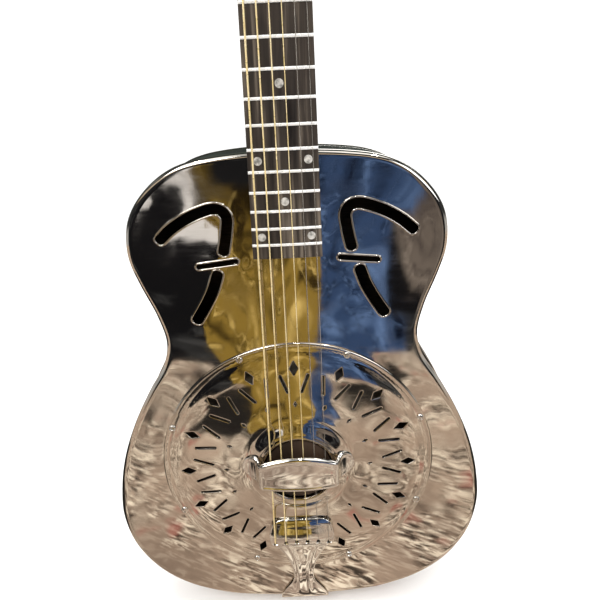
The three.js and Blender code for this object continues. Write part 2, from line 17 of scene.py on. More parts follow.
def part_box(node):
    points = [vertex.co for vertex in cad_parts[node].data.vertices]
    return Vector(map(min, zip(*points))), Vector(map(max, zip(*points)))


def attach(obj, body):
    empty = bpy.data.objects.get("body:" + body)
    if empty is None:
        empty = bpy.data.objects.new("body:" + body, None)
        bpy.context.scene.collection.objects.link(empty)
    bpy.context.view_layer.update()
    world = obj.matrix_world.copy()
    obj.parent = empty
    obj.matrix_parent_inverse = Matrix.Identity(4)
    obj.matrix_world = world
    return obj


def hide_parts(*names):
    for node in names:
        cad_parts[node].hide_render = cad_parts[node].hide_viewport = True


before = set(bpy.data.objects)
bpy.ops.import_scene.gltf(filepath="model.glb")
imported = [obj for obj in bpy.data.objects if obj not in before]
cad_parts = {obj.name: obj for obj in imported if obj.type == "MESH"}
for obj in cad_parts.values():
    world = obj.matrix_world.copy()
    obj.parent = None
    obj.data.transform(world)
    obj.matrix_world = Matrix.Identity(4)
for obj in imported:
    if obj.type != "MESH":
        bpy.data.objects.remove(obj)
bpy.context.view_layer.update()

# ---- sizes shared with the frame

MM = 0.001
COVER_LOW, COVER_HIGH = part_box("coverplate")
CENTRE_X = (COVER_LOW[0] + COVER_HIGH[0]) / 2
CENTRE_Z = (COVER_LOW[2] + COVER_HIGH[2]) / 2
FRONT_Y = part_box("top_plate")[0][1]
BODY_DEPTH = 80
SHEET = 1.2
SCALE = 648
TILT = math.tan(math.radians(1))
HEAD_TILT = math.radians(15)
HEAD_START = 653
HEAD_Y = 1.56
JOINT_FRET_Z = SCALE * 2 ** (-14 / 12)
BOARD_END = 205
BOARD_RADIUS = 305
BOARD_FLARE = 0.01214
BOARD_AT_JOINT = 6.8
NUT_HALF, NUT_CREST = 22.35, 1.34
STRING_RADII = (0.71, 0.57, 0.44, 0.33, 0.22, 0.2)
POSTS = [(-22, 42), (-22, 78), (-22, 114), (22, 114), (22, 78), (22, 42)]
WORM_DROP = 10.3
WORM_DEPTH = 20
WINDING = 0.0005
TAIL_SPREAD, SADDLE_SPREAD, NUT_SPREAD = 26.6, 25.2, 19

# ---- small maths


def to_row(points):
    p = np.asarray(points, float).reshape(-1, 3)
    return np.array([CENTRE_X, FRONT_Y, CENTRE_Z]) + p * [MM, -MM, MM]


def head_place(points):
    """Points of the tilted head (x, depth behind its face, distance up it) as (x, h, z)."""
    p = np.asarray(points, float).reshape(-1, 3)
    c, s = math.cos(HEAD_TILT), math.sin(HEAD_TILT)
    y = HEAD_Y + p[:, 1] * c + p[:, 2] * s
    return np.column_stack([p[:, 0], -y, HEAD_START - p[:, 1] * s + p[:, 2] * c])


def board_top(z):
    return BOARD_AT_JOINT + (JOINT_FRET_Z - z) * TILT


def board_half(z):
    return NUT_HALF + BOARD_FLARE * (SCALE - z)


def fret_z(n):
    return SCALE * 2 ** (-n / 12)


def string_x(index, half_spread):
    return half_spread * (index / 2.5 - 1)


def crown_drop(x):
    return x * x / (2 * BOARD_RADIUS)


def smooth_step(a, b, x):
    t = np.clip((np.asarray(x, float) - a) / (b - a), 0, 1)
    return t * t * (3 - 2 * t)


def unit(vectors):
    return vectors / np.maximum(np.linalg.norm(vectors, axis=1), 1e-12)[:, None]


def run_along(points):
    """How far along the line each of its points is."""
    return np.concatenate([[0], np.cumsum(np.linalg.norm(np.diff(points, axis=0), axis=1))])


def resample(points, count, closed=False):
    p = np.vstack([points, points[:1]]) if closed else np.asarray(points)
    run = run_along(p)
    at = np.linspace(0, run[-1], count, endpoint=not closed)
    return np.column_stack([np.interp(at, run, p[:, k]) for k in range(p.shape[1])])


def spline(points, count, closed=False):
    """Centripetal Catmull-Rom curve through the points, cut into equal lengths."""
    p = np.asarray(points, float)
    if closed:
        p = np.vstack([p[-1:], p, p[:2]])
    else:
        p = np.vstack([2 * p[0] - p[1], p, 2 * p[-1] - p[-2]])
    fine = []
    for q in range(len(p) - 3):
        p0, p1, p2, p3 = p[q : q + 4]
        t1 = np.linalg.norm(p1 - p0) ** 0.5
        t2 = t1 + np.linalg.norm(p2 - p1) ** 0.5
        t3 = t2 + np.linalg.norm(p3 - p2) ** 0.5
        t = np.linspace(t1, t2, 16, endpoint=False)[:, None]
        a1 = (t1 - t) / t1 * p0 + t / t1 * p1
        a2 = (t2 - t) / (t2 - t1) * p1 + (t - t1) / (t2 - t1) * p2
        a3 = (t3 - t) / (t3 - t2) * p2 + (t - t2) / (t3 - t2) * p3
        b1 = (t2 - t) / t2 * a1 + t / t2 * a2
        b2 = (t3 - t) / (t3 - t1) * a2 + (t - t1) / (t3 - t1) * a3
        fine.append((t2 - t) / (t2 - t1) * b1 + (t - t1) / (t2 - t1) * b2)
    if not closed:
        fine.append(p[-2:-1])
    return resample(np.vstack(fine), count, closed)


def circle(radius, count, x=0.0, z=0.0):
    a = np.arange(count) * 2 * math.pi / count
    return np.column_stack([x + radius * np.cos(a), z + radius * np.sin(a)])


def turned(loop, angle):
    c, s = math.cos(angle), math.sin(angle)
    return np.asarray(loop, float) @ np.array([[c, s], [-s, c]])


def mirrored(loop):
    return np.asarray(loop)[::-1] * [-1, 1]


def area(loop):
    x, z = loop[:, 0], loop[:, 1]
    return 0.5 * np.sum(x * np.roll(z, -1) - np.roll(x, -1) * z)


def anticlockwise(loop):
    return loop if area(loop) > 0 else loop[::-1]


def raised(loop, h):
    """Flat points (x, z) as (x, h, z), at one height or one for each."""
    return np.column_stack([loop[:, 0], np.broadcast_to(h, len(loop)), loop[:, 1]])


def offset(loop, distance):
    """An anticlockwise loop moved inwards by distance (outwards if it is negative)."""
    before = loop - np.roll(loop, 1, axis=0)
    after = np.roll(loop, -1, axis=0) - loop
    total = sum(unit(np.column_stack([-d[:, 1], d[:, 0]])) for d in (before, after))
    size = np.maximum((total**2).sum(1), 0.5)[:, None]
    return loop + distance * 2 * total / size


def rounded(corners, radius, steps=3):
    """A polygon with its corners cut round."""
    p = np.asarray(corners, float)
    out = []
    for i in range(len(p)):
        a, b, c = p[i - 1], p[i], p[(i + 1) % len(p)]
        to_a, to_c = np.linalg.norm(a - b), np.linalg.norm(c - b)
        u, v = (a - b) / to_a, (c - b) / to_c
        cut = min(radius, 0.45 * to_a, 0.45 * to_c)
        for k in range(steps + 1):
            t = k / steps
            out.append(b + u * cut * (1 - t) ** 2 + v * cut * t**2)
    return np.array(out)


def strip_loop(centre, width, ends=6, end_round=1.0):
    """A band of one width along a smooth centre line, with rounded ends, anticlockwise."""
    line = spline(centre, max(len(centre) * 5, 6))
    along = unit(np.gradient(line, axis=0))
    side = np.column_stack([-along[:, 1], along[:, 0]]) * width / 2
    turns = [math.pi * k / ends for k in range(1, ends)]
    loop = [*(line + side)]
    for end, sign in ((-1, 1), (0, -1)):
        for a in turns:
            out = 0.4 * width * math.sin(a) ** end_round
            loop.append(line[end] + sign * (side[end] * math.cos(a) + along[end] * out))
        if end == -1:
            loop.extend((line - side)[::-1])
    return anticlockwise(np.array(loop))


def in_loop(points, loop):
    x, z = points[:, 0], points[:, 1]
    result = np.zeros(len(points), bool)
    for (x0, z0), (x1, z1) in zip(loop, np.roll(loop, -1, axis=0)):
        if z0 != z1:
            crosses = (z0 > z) != (z1 > z)
            result ^= crosses & (x < x0 + (z - z0) / (z1 - z0) * (x1 - x0))
    return result


def loop_distance(points, loops):
    """Distance of each point to the nearest edge of the loops."""
    best = np.full(len(points), 1e9)
    for loop in loops:
        low, high = loop.min(0) - 8, loop.max(0) + 8
        near = np.flatnonzero(((points > low) & (points < high)).all(1))
        if not len(near):
            continue
        p = points[near]
        for a, b in zip(loop, np.roll(loop, -1, axis=0)):
            d = b - a
            t = np.clip(((p - a) @ d) / max(d @ d, 1e-12), 0, 1)
            best[near] = np.minimum(best[near], np.linalg.norm(p - a - t[:, None] * d, axis=1))
    return best


# ---- mesh builders: each returns (points, faces)


def joined(parts):
    points, faces, start = [], [], 0
    for p, f in parts:
        p = np.asarray(p, float).reshape(-1, 3)
        points.append(p)
        faces.extend(tuple(start + i for i in face) for face in f)
        start += len(p)
    return np.vstack(points), faces


def moved(part, x=0.0, h=0.0, z=0.0):
    return np.asarray(part[0], float) + [x, h, z], part[1]


def on_head(*parts):
    points, faces = joined(parts)
    return head_place(points), faces


def face_on(part):
    """A part made with its front towards +h, turned to fit the head's own frame."""
    return np.asarray(part[0]) * [1, -1, 1], part[1]


def rings(loops, closed=True, caps=True):
    """Skin over a list of equally long rings of points; the ends are closed with flat faces."""
    n = len(loops[0])
    faces = []
    for k in range(len(loops) - 1):
        for i in range(n if closed else n - 1):
            j = (i + 1) % n
            faces.append((k * n + i, k * n + j, (k + 1) * n + j, (k + 1) * n + i))
    if caps:
        faces.append(tuple(range(n))[::-1])
        faces.append(tuple((len(loops) - 1) * n + i for i in range(n)))
    return np.vstack(loops), faces


def lathe(profile, segments=48, x=0.0, z=0.0):
    """(radius, h) pairs turned round an axis through x, z that points at the viewer."""
    loops = [raised(circle(max(r, 1e-4), segments, x, z), h) for r, h in profile]
    solid = profile[0][0] <= 1e-3 or profile[-1][0] <= 1e-3
    if not solid:
        loops.append(loops[0])
    return rings(loops, caps=solid)


def slab(loop, low, high, bevel=0.4, lift=None, steps=3):
    """A plate with the outline loop between two heights, with rounded edges."""
    turns = [math.pi / 2 * k / steps for k in range(steps + 1)]
    edge = [(bevel * (1 - math.sin(t)), low + bevel * (1 - math.cos(t))) for t in turns]
    edge += [(bevel * (1 - math.cos(t)), high - bevel * (1 - math.sin(t))) for t in turns]
    flats = [(offset(loop, inset), h) for inset, h in edge]
    return rings([raised(flat, h + (lift(flat) if lift else 0)) for flat, h in flats])


def tube(path, radius, sides=12):
    """A round wire along a path."""
    path = np.asarray(path, float)
    along = unit(np.gradient(path, axis=0))
    up = np.array([0.0, 1.0, 0.0])
    if abs(along[0] @ up) > 0.9:
        up = np.array([1.0, 0.0, 0.0])
    a = np.arange(sides) * 2 * math.pi / sides
    loops = []
    for point, t in zip(path, along):
        up = up - (up @ t) * t
        up /= np.linalg.norm(up)
        side = np.cross(t, up)
        loops.append(point + radius * (np.outer(np.cos(a), up) + np.outer(np.sin(a), side)))
    return rings(loops)


def outside(points, keep, holes):
    """Which of the kept points lie in none of the holes."""
    for hole in holes:
        near = np.flatnonzero(keep & ((points > hole.min(0)) & (points < hole.max(0))).all(1))
        keep[near] = ~in_loop(points[near], hole)
    return keep


def grid_points(outer, holes, grid, taken):
    """The grid's points on the sheet that aren't too near a point already taken."""
    points, spacing = grid
    tree = KDTree(len(taken))
    for i, c in enumerate(taken):
        tree.insert((c[0], c[1], 0), i)
    tree.balance()
    points = points[outside(points, in_loop(points, outer), holes)]
    gaps = np.array([tree.find((p[0], p[1], 0))[2] for p in points])
    return points[gaps > 0.55 * spacing]


def flat_mesh(outer, holes, grid, loops):
    """Flat triangles between the outline and the holes, with an edge along every loop."""
    coords, edges = [], []
    for loop in loops:
        n, start = len(loop), len(coords)
        coords.extend(loop)
        edges.extend((start + i, start + (i + 1) % n) for i in range(n))
    if len(grid):
        coords.extend(grid_points(outer, holes, grid, coords))
    made = delaunay_2d_cdt([Vector(c) for c in coords], edges, [], 0, 1e-5)
    flat = np.array([tuple(v) for v in made[0]])
    faces = np.array(made[2])
    middle = flat[faces].mean(1)
    faces = faces[outside(middle, in_loop(middle, outer), holes)]
    used, faces = np.unique(faces, return_inverse=True)
    return flat[used], faces.reshape(-1, 3)


def sheet(outer, holes, surface, thick, grid, outer_rings=(), hole_rings=(), marks=(), base=None):
    """Sheet metal with openings. surface lifts flat points (n, 2) to (x, h, z). The back is thick
    behind it, or flat at the height base."""
    loops = [outer] + [offset(outer, d) for d in outer_rings] + list(marks)
    for hole in holes:
        loops += [hole] + [offset(hole, -d) for d in hole_rings]
    flat, faces = flat_mesh(outer, holes, grid, loops)
    front = surface(flat)
    corner = front[faces]
    face_normal = np.cross(corner[:, 1] - corner[:, 0], corner[:, 2] - corner[:, 0])
    normal = np.zeros_like(front)
    for k in range(3):
        np.add.at(normal, faces[:, k], face_normal)
    back = front + unit(normal) * thick if base is None else raised(front[:, [0, 2]], base)
    n = len(front)
    out = [tuple(f) for f in faces] + [(n + f[2], n + f[1], n + f[0]) for f in faces]
    directed = {e: True for a, b, c in faces for e in ((a, b), (b, c), (c, a))}
    out += [(b, a, n + a, n + b) for a, b in directed if (b, a) not in directed]
    return np.vstack([front, back]), [tuple(int(i) for i in f) for f in out]


def square_grid(low, high, step):
    x = np.arange(low[0], high[0], float(step))
    z = np.arange(low[1], high[1], float(step))
    xx, zz = np.meshgrid(x, z)
    xx[1::2] += step / 2
    return np.column_stack([xx.ravel(), zz.ravel()]), step


def polar_grid(r0, r1, step):
    out = []
    for k, r in enumerate(np.arange(r0, r1, step)):
        count = max(int(2 * math.pi * r / step), 6)
        out.append(turned(circle(r, count), (k % 2) * math.pi / count))
    return np.vstack(out), step


# ---- materials


def set_inputs(node, **values):
    for key, value in values.items():
        node.inputs[key.replace("_", " ")].default_value = value


class Shade:
    """A short way to wire a principled material."""

    def __init__(self, name, colour, metallic=0.0, rough=0.4, coat=0.0):
        self.material = bpy.data.materials.new(name)
        self.material.use_nodes = True
        self.tree = self.material.node_tree
        self.shader = self.tree.nodes["Principled BSDF"]
        set_inputs(self.shader, Base_Color=(*colour, 1), Metallic=metallic, Roughness=rough, Coat_Weight=coat)
        self.place = self.node("ShaderNodeTexCoord").outputs["Object"]

    def node(self, kind, **values):
        made = self.tree.nodes.new(kind)
        for key, value in values.items():
            setattr(made, key, value)
        return made

    def link(self, a, b):
        self.tree.links.new(a, b)

    def axes(self):
        split = self.node("ShaderNodeSeparateXYZ")
        self.link(self.place, split.inputs[0])
        return split.outputs

    def scaled(self, stretch, kind="POINT", turn=0.0):
        mapping = self.node("ShaderNodeMapping", vector_type=kind)
        set_inputs(mapping, Scale=stretch, Rotation=(0, 0, turn))
        self.link(self.place, mapping.inputs["Vector"])
        return mapping.outputs["Vector"]

    def noise(self, scale, detail=3.0, stretch=None, distortion=0.0, place=None):
        made = self.node("ShaderNodeTexNoise")
        set_inputs(made, Scale=scale, Detail=detail, Distortion=distortion)
        if place is None:
            place = self.scaled(stretch) if stretch else self.place
        self.link(place, made.inputs["Vector"])
        return made.outputs["Fac"]

    def between(self, fac, low, high, start=0.3, end=0.7):
        made = self.node("ShaderNodeMapRange")
        set_inputs(made, From_Min=start, From_Max=end, To_Min=low, To_Max=high)
        self.link(fac, made.inputs["Value"])
        return made.outputs["Result"]

    def ramp(self, fac, *stops):
        made = self.node("ShaderNodeValToRGB")
        marks = made.color_ramp.elements
        while len(marks) < len(stops):
            marks.new(0.5)
        for mark, (at, colour) in zip(marks, stops):
            mark.position = at
            mark.color = (*colour, 1)
        self.link(fac, made.inputs["Fac"])
        return made.outputs["Color"]

    def math(self, operation, a, b=0.0):
        made = self.node("ShaderNodeMath", operation=operation)
        for socket, value in zip(made.inputs, (a, b)):
            if isinstance(value, (int, float)):
                socket.default_value = value
            else:
                self.link(value, socket)
        return made.outputs[0]

    def times(self, a, b):
        return self.math("MULTIPLY", a, b)

    def colour(self, source):
        self.link(source, self.shader.inputs["Base Color"])

    def rough(self, source):
        self.link(source, self.shader.inputs["Roughness"])

    def bump(self, height, distance, strength=1.0):
        made = self.node("ShaderNodeBump")
        set_inputs(made, Distance=distance, Strength=strength)
        self.link(height, made.inputs["Height"])
        self.link(made.outputs["Normal"], self.shader.inputs["Normal"])


def plated(name, low, high, rough, scratch=0.12, smudge=0.1):
    """Polished plating: a faint change of tint, finger smudges and hairline scratches."""
    s = Shade(name, high, metallic=1.0, rough=rough)
    s.colour(s.ramp(s.noise(9, 5), (0.35, low), (0.65, high)))
    smudges = s.between(s.noise(26, 6, distortion=0.6), 0, smudge, 0.52, 0.78)
    hair = s.noise(60, 2, stretch=(1, 6, 14))
    s.rough(s.math("ADD", smudges, s.between(hair, rough, rough * 1.8)))
    s.bump(s.noise(700, 2, stretch=(1, 1, 0.08)), 0.00002, scratch)
    return s.material


def wood(name, dark, mid, light, rough, coat=0.0, grain=55, pores=0.5, specular=0.5):
    """Wood with its grain along the neck."""
    s = Shade(name, mid, rough=rough, coat=coat)
    streak = s.noise(grain, 6, stretch=(1, 1, 0.045), distortion=0.35)
    broad = s.noise(14, 3, stretch=(1, 1, 0.12))
    mix = s.math("ADD", s.math("MULTIPLY", streak, 0.7), s.math("MULTIPLY", broad, 0.3))
    s.colour(s.ramp(mix, (0.34, dark), (0.5, mid), (0.66, light)))
    fine = s.noise(900, 3, stretch=(1, 1, 0.03))
    s.rough(s.between(fine, rough * 0.8, rough * 1.25))
    s.bump(fine, 0.00012, pores)
    set_inputs(s.shader, Coat_Roughness=0.15, Specular_IOR_Level=specular)
    return s.material


def plain_material(name, low, high, rough, metallic=0.0, coat=0.0, scale=60, stretch=None):
    s = Shade(name, high, metallic=metallic, rough=rough, coat=coat)
    fac = s.noise(scale, 4, stretch=stretch)
    s.colour(s.ramp(fac, (0.36, low), (0.62, high)))
    s.rough(s.between(s.noise(scale * 4, 3), rough * 0.75, rough * 1.3))
    s.bump(s.noise(scale * 9, 2), 0.00003, 0.2)
    return s.material


def spun_metal(name, low, high, rough):
    """Spun sheet: fine circular tool marks round the cone's axis."""
    s = Shade(name, high, metallic=1.0, rough=rough)
    across, _, up = s.axes()
    x = s.math("SUBTRACT", across, CENTRE_X)
    z = s.math("SUBTRACT", up, CENTRE_Z)
    radius = s.math("SQRT", s.math("ADD", s.times(x, x), s.times(z, z)))
    s.colour(s.ramp(s.noise(30, 4), (0.35, low), (0.65, high)))
    s.rough(s.between(s.noise(120, 3), rough * 0.8, rough * 1.3))
    s.bump(s.math("SINE", s.times(radius, 9000)), 0.00002, 0.5)
    return s.material


def wound(name, low, high):
    """Wrapped string: a fine winding along the string."""
    s = Shade(name, high, metallic=0.55, rough=0.3)
    s.colour(s.ramp(s.noise(80, 3), (0.35, low), (0.65, high)))
    s.rough(s.between(s.noise(300, 2), 0.24, 0.4))
    s.bump(s.math("SINE", s.times(s.axes()[2], 2 * math.pi / WINDING)), 0.00006, 0.6)
    return s.material


NICKEL = plated("nickel_sheet", (0.70, 0.665, 0.61), (0.78, 0.745, 0.69), 0.035)
COVER_NICKEL = plated("nickel_cover", (0.70, 0.66, 0.60), (0.79, 0.75, 0.69), 0.04)
CHROME = plated("chrome", (0.80, 0.79, 0.76), (0.86, 0.85, 0.83), 0.03, 0.06, 0.06)
HARDWARE = plated("nickel_hardware", (0.66, 0.63, 0.58), (0.76, 0.73, 0.68), 0.12, 0.2, 0.12)
# Fret nickel raised to near white and part matt: painted highlight, so that the frets show as bright lines.
FRET_WIRE = plain_material("fret_nickel_painted_highlight", (0.88, 0.87, 0.84), (1.0, 0.99, 0.97), 0.25, 0.4)
SCREW = plated("nickel_screw", (0.76, 0.74, 0.70), (0.88, 0.86, 0.82), 0.2, 0.2, 0.1)
# Nickel darkened to near black: painted shade for the inside of the body and the sound well.
WELL = plated("nickel_well_painted_shade", (0.10, 0.085, 0.07), (0.18, 0.15, 0.125), 0.45, 0.2, 0.1)
ALUMINIUM = spun_metal("spun_aluminium", (0.42, 0.42, 0.41), (0.56, 0.56, 0.54), 0.34)
STEEL = plain_material("steel_rod", (0.30, 0.30, 0.29), (0.42, 0.42, 0.41), 0.35, 1.0)
PLAIN_WIRE = plain_material("string_steel", (0.42, 0.39, 0.34), (0.62, 0.58, 0.52), 0.2, 0.75)
BRASS = plain_material("gear_brass", (0.52, 0.34, 0.12), (0.70, 0.49, 0.20), 0.28, 1.0)
BRONZE = wound("wound_bronze", (0.80, 0.62, 0.28), (0.95, 0.80, 0.48))
# The biscuit's maple, made near black: painted shade of the opening under the hand rest.
MAPLE = wood(
    "bridge_maple", (0.012, 0.008, 0.006), (0.026, 0.016, 0.011), (0.050, 0.031, 0.020), 0.5, 0.05,
    specular=0.08,
)
STICK = wood("stick_maple", (0.42, 0.27, 0.14), (0.56, 0.38, 0.21), (0.66, 0.47, 0.28), 0.55)
MAHOGANY = wood(
    "neck_mahogany", (0.055, 0.018, 0.010), (0.105, 0.036, 0.018), (0.17, 0.062, 0.03), 0.3, 0.6
)
ROSEWOOD = wood(
    "board_rosewood", (0.010, 0.007, 0.006), (0.038, 0.028, 0.021), (0.17, 0.135, 0.10), 0.42,
    grain=190, pores=0.8, specular=0.3,
)
BONE = plain_material("nut_bone", (0.66, 0.58, 0.42), (0.80, 0.74, 0.60), 0.35, scale=120)
PEARL = plain_material("pearl_dot", (0.17, 0.165, 0.15), (0.50, 0.47, 0.43), 0.22, scale=300, coat=0.5)
IVOROID = plain_material(
    "ivoroid", (0.68, 0.58, 0.36), (0.80, 0.73, 0.55), 0.25, coat=0.4, scale=90, stretch=(1, 1, 0.1)
)
BLACK = plain_material("cover_black", (0.006, 0.006, 0.006), (0.014, 0.013, 0.013), 0.18, coat=0.5)

# ---- pieces


def piece(name, parts, material, body="guitar", stands_for=(), sharp=38):
    points, faces = joined(parts if isinstance(parts, list) else [parts])
    mesh = bpy.data.meshes.new(name)
    mesh.from_pydata(to_row(points).tolist(), [], faces)
    work = bmesh.new()
    work.from_mesh(mesh)
    bmesh.ops.remove_doubles(work, verts=work.verts, dist=1e-6)
    bmesh.ops.dissolve_degenerate(work, edges=work.edges, dist=1e-7)
    bmesh.ops.recalc_face_normals(work, faces=work.faces)
    work.to_mesh(mesh)
    work.free()
    mesh.shade_smooth()
    mesh.set_sharp_from_angle(angle=math.radians(sharp))
    mesh.materials.append(material)
    made = bpy.data.objects.new(name, mesh)
    bpy.context.scene.collection.objects.link(made)
    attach(made, body)
    if stands_for:
        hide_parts(*stands_for)
    return made


# ---- body

BODY_TOP = 287.6
BODY_HALF = [
    (0, BODY_TOP), (24, 287.1), (50, 285.3), (70, 282.4), (86, 277.5), (100, 269.5), (113, 258),
    (122, 246.3), (127.6, 234), (130.2, 219), (129.6, 204), (123.8, 184), (113.5, 155.5), (109, 131),
    (114, 110.5), (130, 85), (148, 52.5), (163, 17), (172.5, -20), (175.8, -56), (168.4, -93),
    (149, -125), (121, -148), (80, -164), (37, -169.7), (0, -171),
]
BODY_GRID = ((-180, -175), (180, 294))
EDGE_R = 4.5
EDGE_RINGS = (0.12, 0.4, 0.85, 1.4, 2.1, 2.9, 3.7, 4.5, 6.5)
SOUND_RINGS = (0.04, 0.25, 0.55, 0.95, 1.25, 1.45, 1.6, 2.6)
WALL = 0.8
RIM_PROFILE = [
    (2.2, 2.9), (WALL + 0.8, 2.9), (WALL, 3.9), (WALL, 12), (WALL, 40), (WALL, 68), (WALL, 74),
    (WALL, BODY_DEPTH - 3.6), (WALL - 0.35, BODY_DEPTH - 3.2), (0.15, BODY_DEPTH - 2.7),
    (0, BODY_DEPTH - 2.0), (0.2, BODY_DEPTH - 1.2), (0.7, BODY_DEPTH - 0.5),
    (1.6, BODY_DEPTH - 0.08), (2.8, BODY_DEPTH),
]
WELL_HOLE_R = 119.3
HOOK = [
    (101.5, 222.7), (92.5, 230.4), (79.6, 238.2), (67.2, 243.2), (56.8, 245.5), (50.7, 243.7),
    (46.9, 238.0), (47.8, 228.4), (49.9, 217.9), (51.8, 210.5),
]
CROSS_BAR = [(73.3, 198.9), (58, 200.4), (42.4, 202.1)]
LOWER_CUT = [(58.6, 191.4), (63.5, 178.6), (70.7, 165.6), (79.3, 152.4)]
SOUND_CUTS = ((HOOK, 8.2, 0.8), (CROSS_BAR, 4.2, 1.0), (LOWER_CUT, 8.8, 0.8))
BEAD_WIDTH, BEAD_HEIGHT = 1.5, 0.9


def body_outline():
    right = np.array(BODY_HALF, float)
    left = right[1:-1][::-1] * [-1, 1]
    return anticlockwise(spline(np.vstack([right, left]), 440, closed=True))


def sheet_waves(p):
    """The slow unevenness of hand-polished sheet metal."""
    x, z = p[:, 0], p[:, 1]
    slow = 0.11 * np.sin(x / 15.0 + 0.6 * np.sin(z / 27.0)) * np.sin(z / 34.0 + 0.8)
    long = 0.16 * np.sin(x / 33.0 + z / 41.0 + 1.1) + 0.10 * np.sin(x / 24.0 - z / 29.0)
    return slow + long


def hump(d, centre, width):
    return np.exp(-(((d - centre) / width) ** 2))


def bead(d, width, height):
    """A half-round bead of that width, starting at distance 0."""
    t = np.clip(d / width, 0, 1) * 2 - 1
    return height * np.sqrt(np.clip(1 - t * t, 0, 1))


def build_top(outline):
    right = [strip_loop(line, width, end_round=bluntness) for line, width, bluntness in SOUND_CUTS]
    sounds = right + [mirrored(loop) for loop in right]
    well = circle(WELL_HOLE_R, 160)

    def surface(p):
        from_edge = loop_distance(p, [outline])
        from_sound = loop_distance(p, sounds)
        calm = smooth_step(2, 14, from_edge) * smooth_step(1.5, 10, from_sound)
        calm *= smooth_step(WELL_HOLE_R, WELL_HOLE_R + 10, np.linalg.norm(p, axis=1))
        roll = np.clip(from_edge, 0, EDGE_R)
        h = calm * (sheet_waves(p) - 0.15) - EDGE_R + np.sqrt(EDGE_R**2 - (EDGE_R - roll) ** 2)
        h += bead(from_sound, BEAD_WIDTH, BEAD_HEIGHT) * (from_sound < BEAD_WIDTH)
        h -= 0.5 * (from_sound < 0.02)
        return raised(p, h)

    grid = square_grid(*BODY_GRID, 4.2)
    top = sheet(outline, [*sounds, well], surface, SHEET, grid, EDGE_RINGS, SOUND_RINGS)
    piece("top_skin", top, NICKEL, stands_for=["top_plate"])


def front_of(part):
    """Only the front half of a sheet."""
    points, faces = part
    half = len(points) // 2
    return points[:half], [f for f in faces if max(f) < half]


def build_shell(outline):
    inset, inner = offset(outline, 2.8), offset(outline, 2.2)
    grid = square_grid(*BODY_GRID, 9)
    floor_h = SHEET - BODY_DEPTH

    def back_surface(p):
        calm = smooth_step(0.5, 16, loop_distance(p, [inset]))
        bulge = 0.25 * sheet_waves(p[:, ::-1] * 0.8) - 0.05
        return raised(p, -BODY_DEPTH - calm * np.minimum(bulge, 0.1) + 0.02 * calm)

    def floor_surface(p):
        return raised(p, floor_h)

    walls = rings([raised(offset(outline, d), -y) for d, y in RIM_PROFILE], caps=False)
    back = front_of(sheet(inset, [], back_surface, -SHEET, grid, outer_rings=(4.0,)))
    shell = joined([walls, back])
    piece("rim_and_back", shell, NICKEL, stands_for=["side_rim", "back_plate"])
    inside = rings([raised(inner, h) for h in (floor_h, -40, -2.75)], caps=False)
    floor = front_of(sheet(inner, [], floor_surface, SHEET, grid))
    # The body's inside is in painted shade: the well's near-black nickel.
    piece("body_inside", joined([inside, floor]), WELL)


# ---- cover plate

OPENING_R = 33.3
COVER_R = 127.4
COVER_PROFILE = [
    (33.3, 7.6), (33.35, 8.7), (33.8, 9.4), (34.7, 9.75), (35.8, 9.8), (36.8, 9.5), (37.6, 9.0),
    (38.4, 8.85), (39.4, 8.75), (41, 8.1), (44, 6.5), (47, 5.1), (50, 4.25), (54, 3.9), (60, 3.8),
    (70, 3.75), (80, 3.6), (100, 3.2), (108, 2.9), (113, 2.5), (116.4, 2.12), (118.6, 1.7),
    (119.6, 1.55), (120.6, 1.5), (124.6, 1.5), (125.3, 1.75), (126.1, 1.8), (126.9, 1.45), (127.4, 0.6),
]
COVER_RINGS = (
    ([OPENING_R + d for d in (1.3, 2.4, 3.4, 4.3, 5.1, 6.1, 7.7, 10.7, 13.7, 16.7)], 132),
    ((113, 115, 116.8, 118.2, 119.6, 121), 150),
    ((124.4, 125.2, 126.1, 126.8, 127.2), 180),
)
SLOT_LINE = [(6, 80), (9.2, 88.4), (12.5, 97)]
GRILLE_GROUPS = 16
SCREW_R = 123.2


def grille_holes():
    diamond = rounded([(0, 111.5), (-4, 104), (0, 96.5), (4, 104)], 0.8)
    small = rounded([(0, 71), (-1.5, 68), (0, 65), (1.5, 68)], 0.5)
    right = strip_loop(SLOT_LINE, 2.5, ends=4)
    left = mirrored(right)
    out = []
    for k in range(GRILLE_GROUPS):
        for loop in (diamond, small, right, left):
            out.append(anticlockwise(turned(loop, k * 2 * math.pi / GRILLE_GROUPS)))
    return out


def slotted_screw(x, z, height, radius, base, rise, angle):
    """A domed screw head with a straight slot."""
    half = 0.13 * radius + 0.12
    reach = radius * 0.985
    bar = np.array([(-reach, -half), (reach, -half), (reach, half), (-reach, half)])
    bar = turned(resample(bar, 28, closed=True), angle)
    wide = offset(bar, -0.06)
    scale = np.minimum(1, 0.99 * radius / np.maximum(np.linalg.norm(wide, axis=1), 1e-9))
    wide = wide * scale[:, None]
    u = np.array([math.cos(angle), math.sin(angle)])
    v = np.array([-u[1], u[0]])

    def surface(p):
        r = np.linalg.norm(p, axis=1) / radius
        h = height + rise * np.sqrt(np.clip(1.02 - r**2, 0, 1))
        slot = (np.abs(p @ v) < half + 0.01) & (np.abs(p @ u) < reach + 0.01)
        h = np.where(slot, np.minimum(h, height + rise * 0.35), h)
        return raised(p + [x, z], h)

    grid = polar_grid(0.2, radius, radius / 6)
    edge = (0.06 * radius, 0.2 * radius)
    return sheet(circle(radius, 36), [], surface, 0, grid, edge, marks=(bar,), base=base)


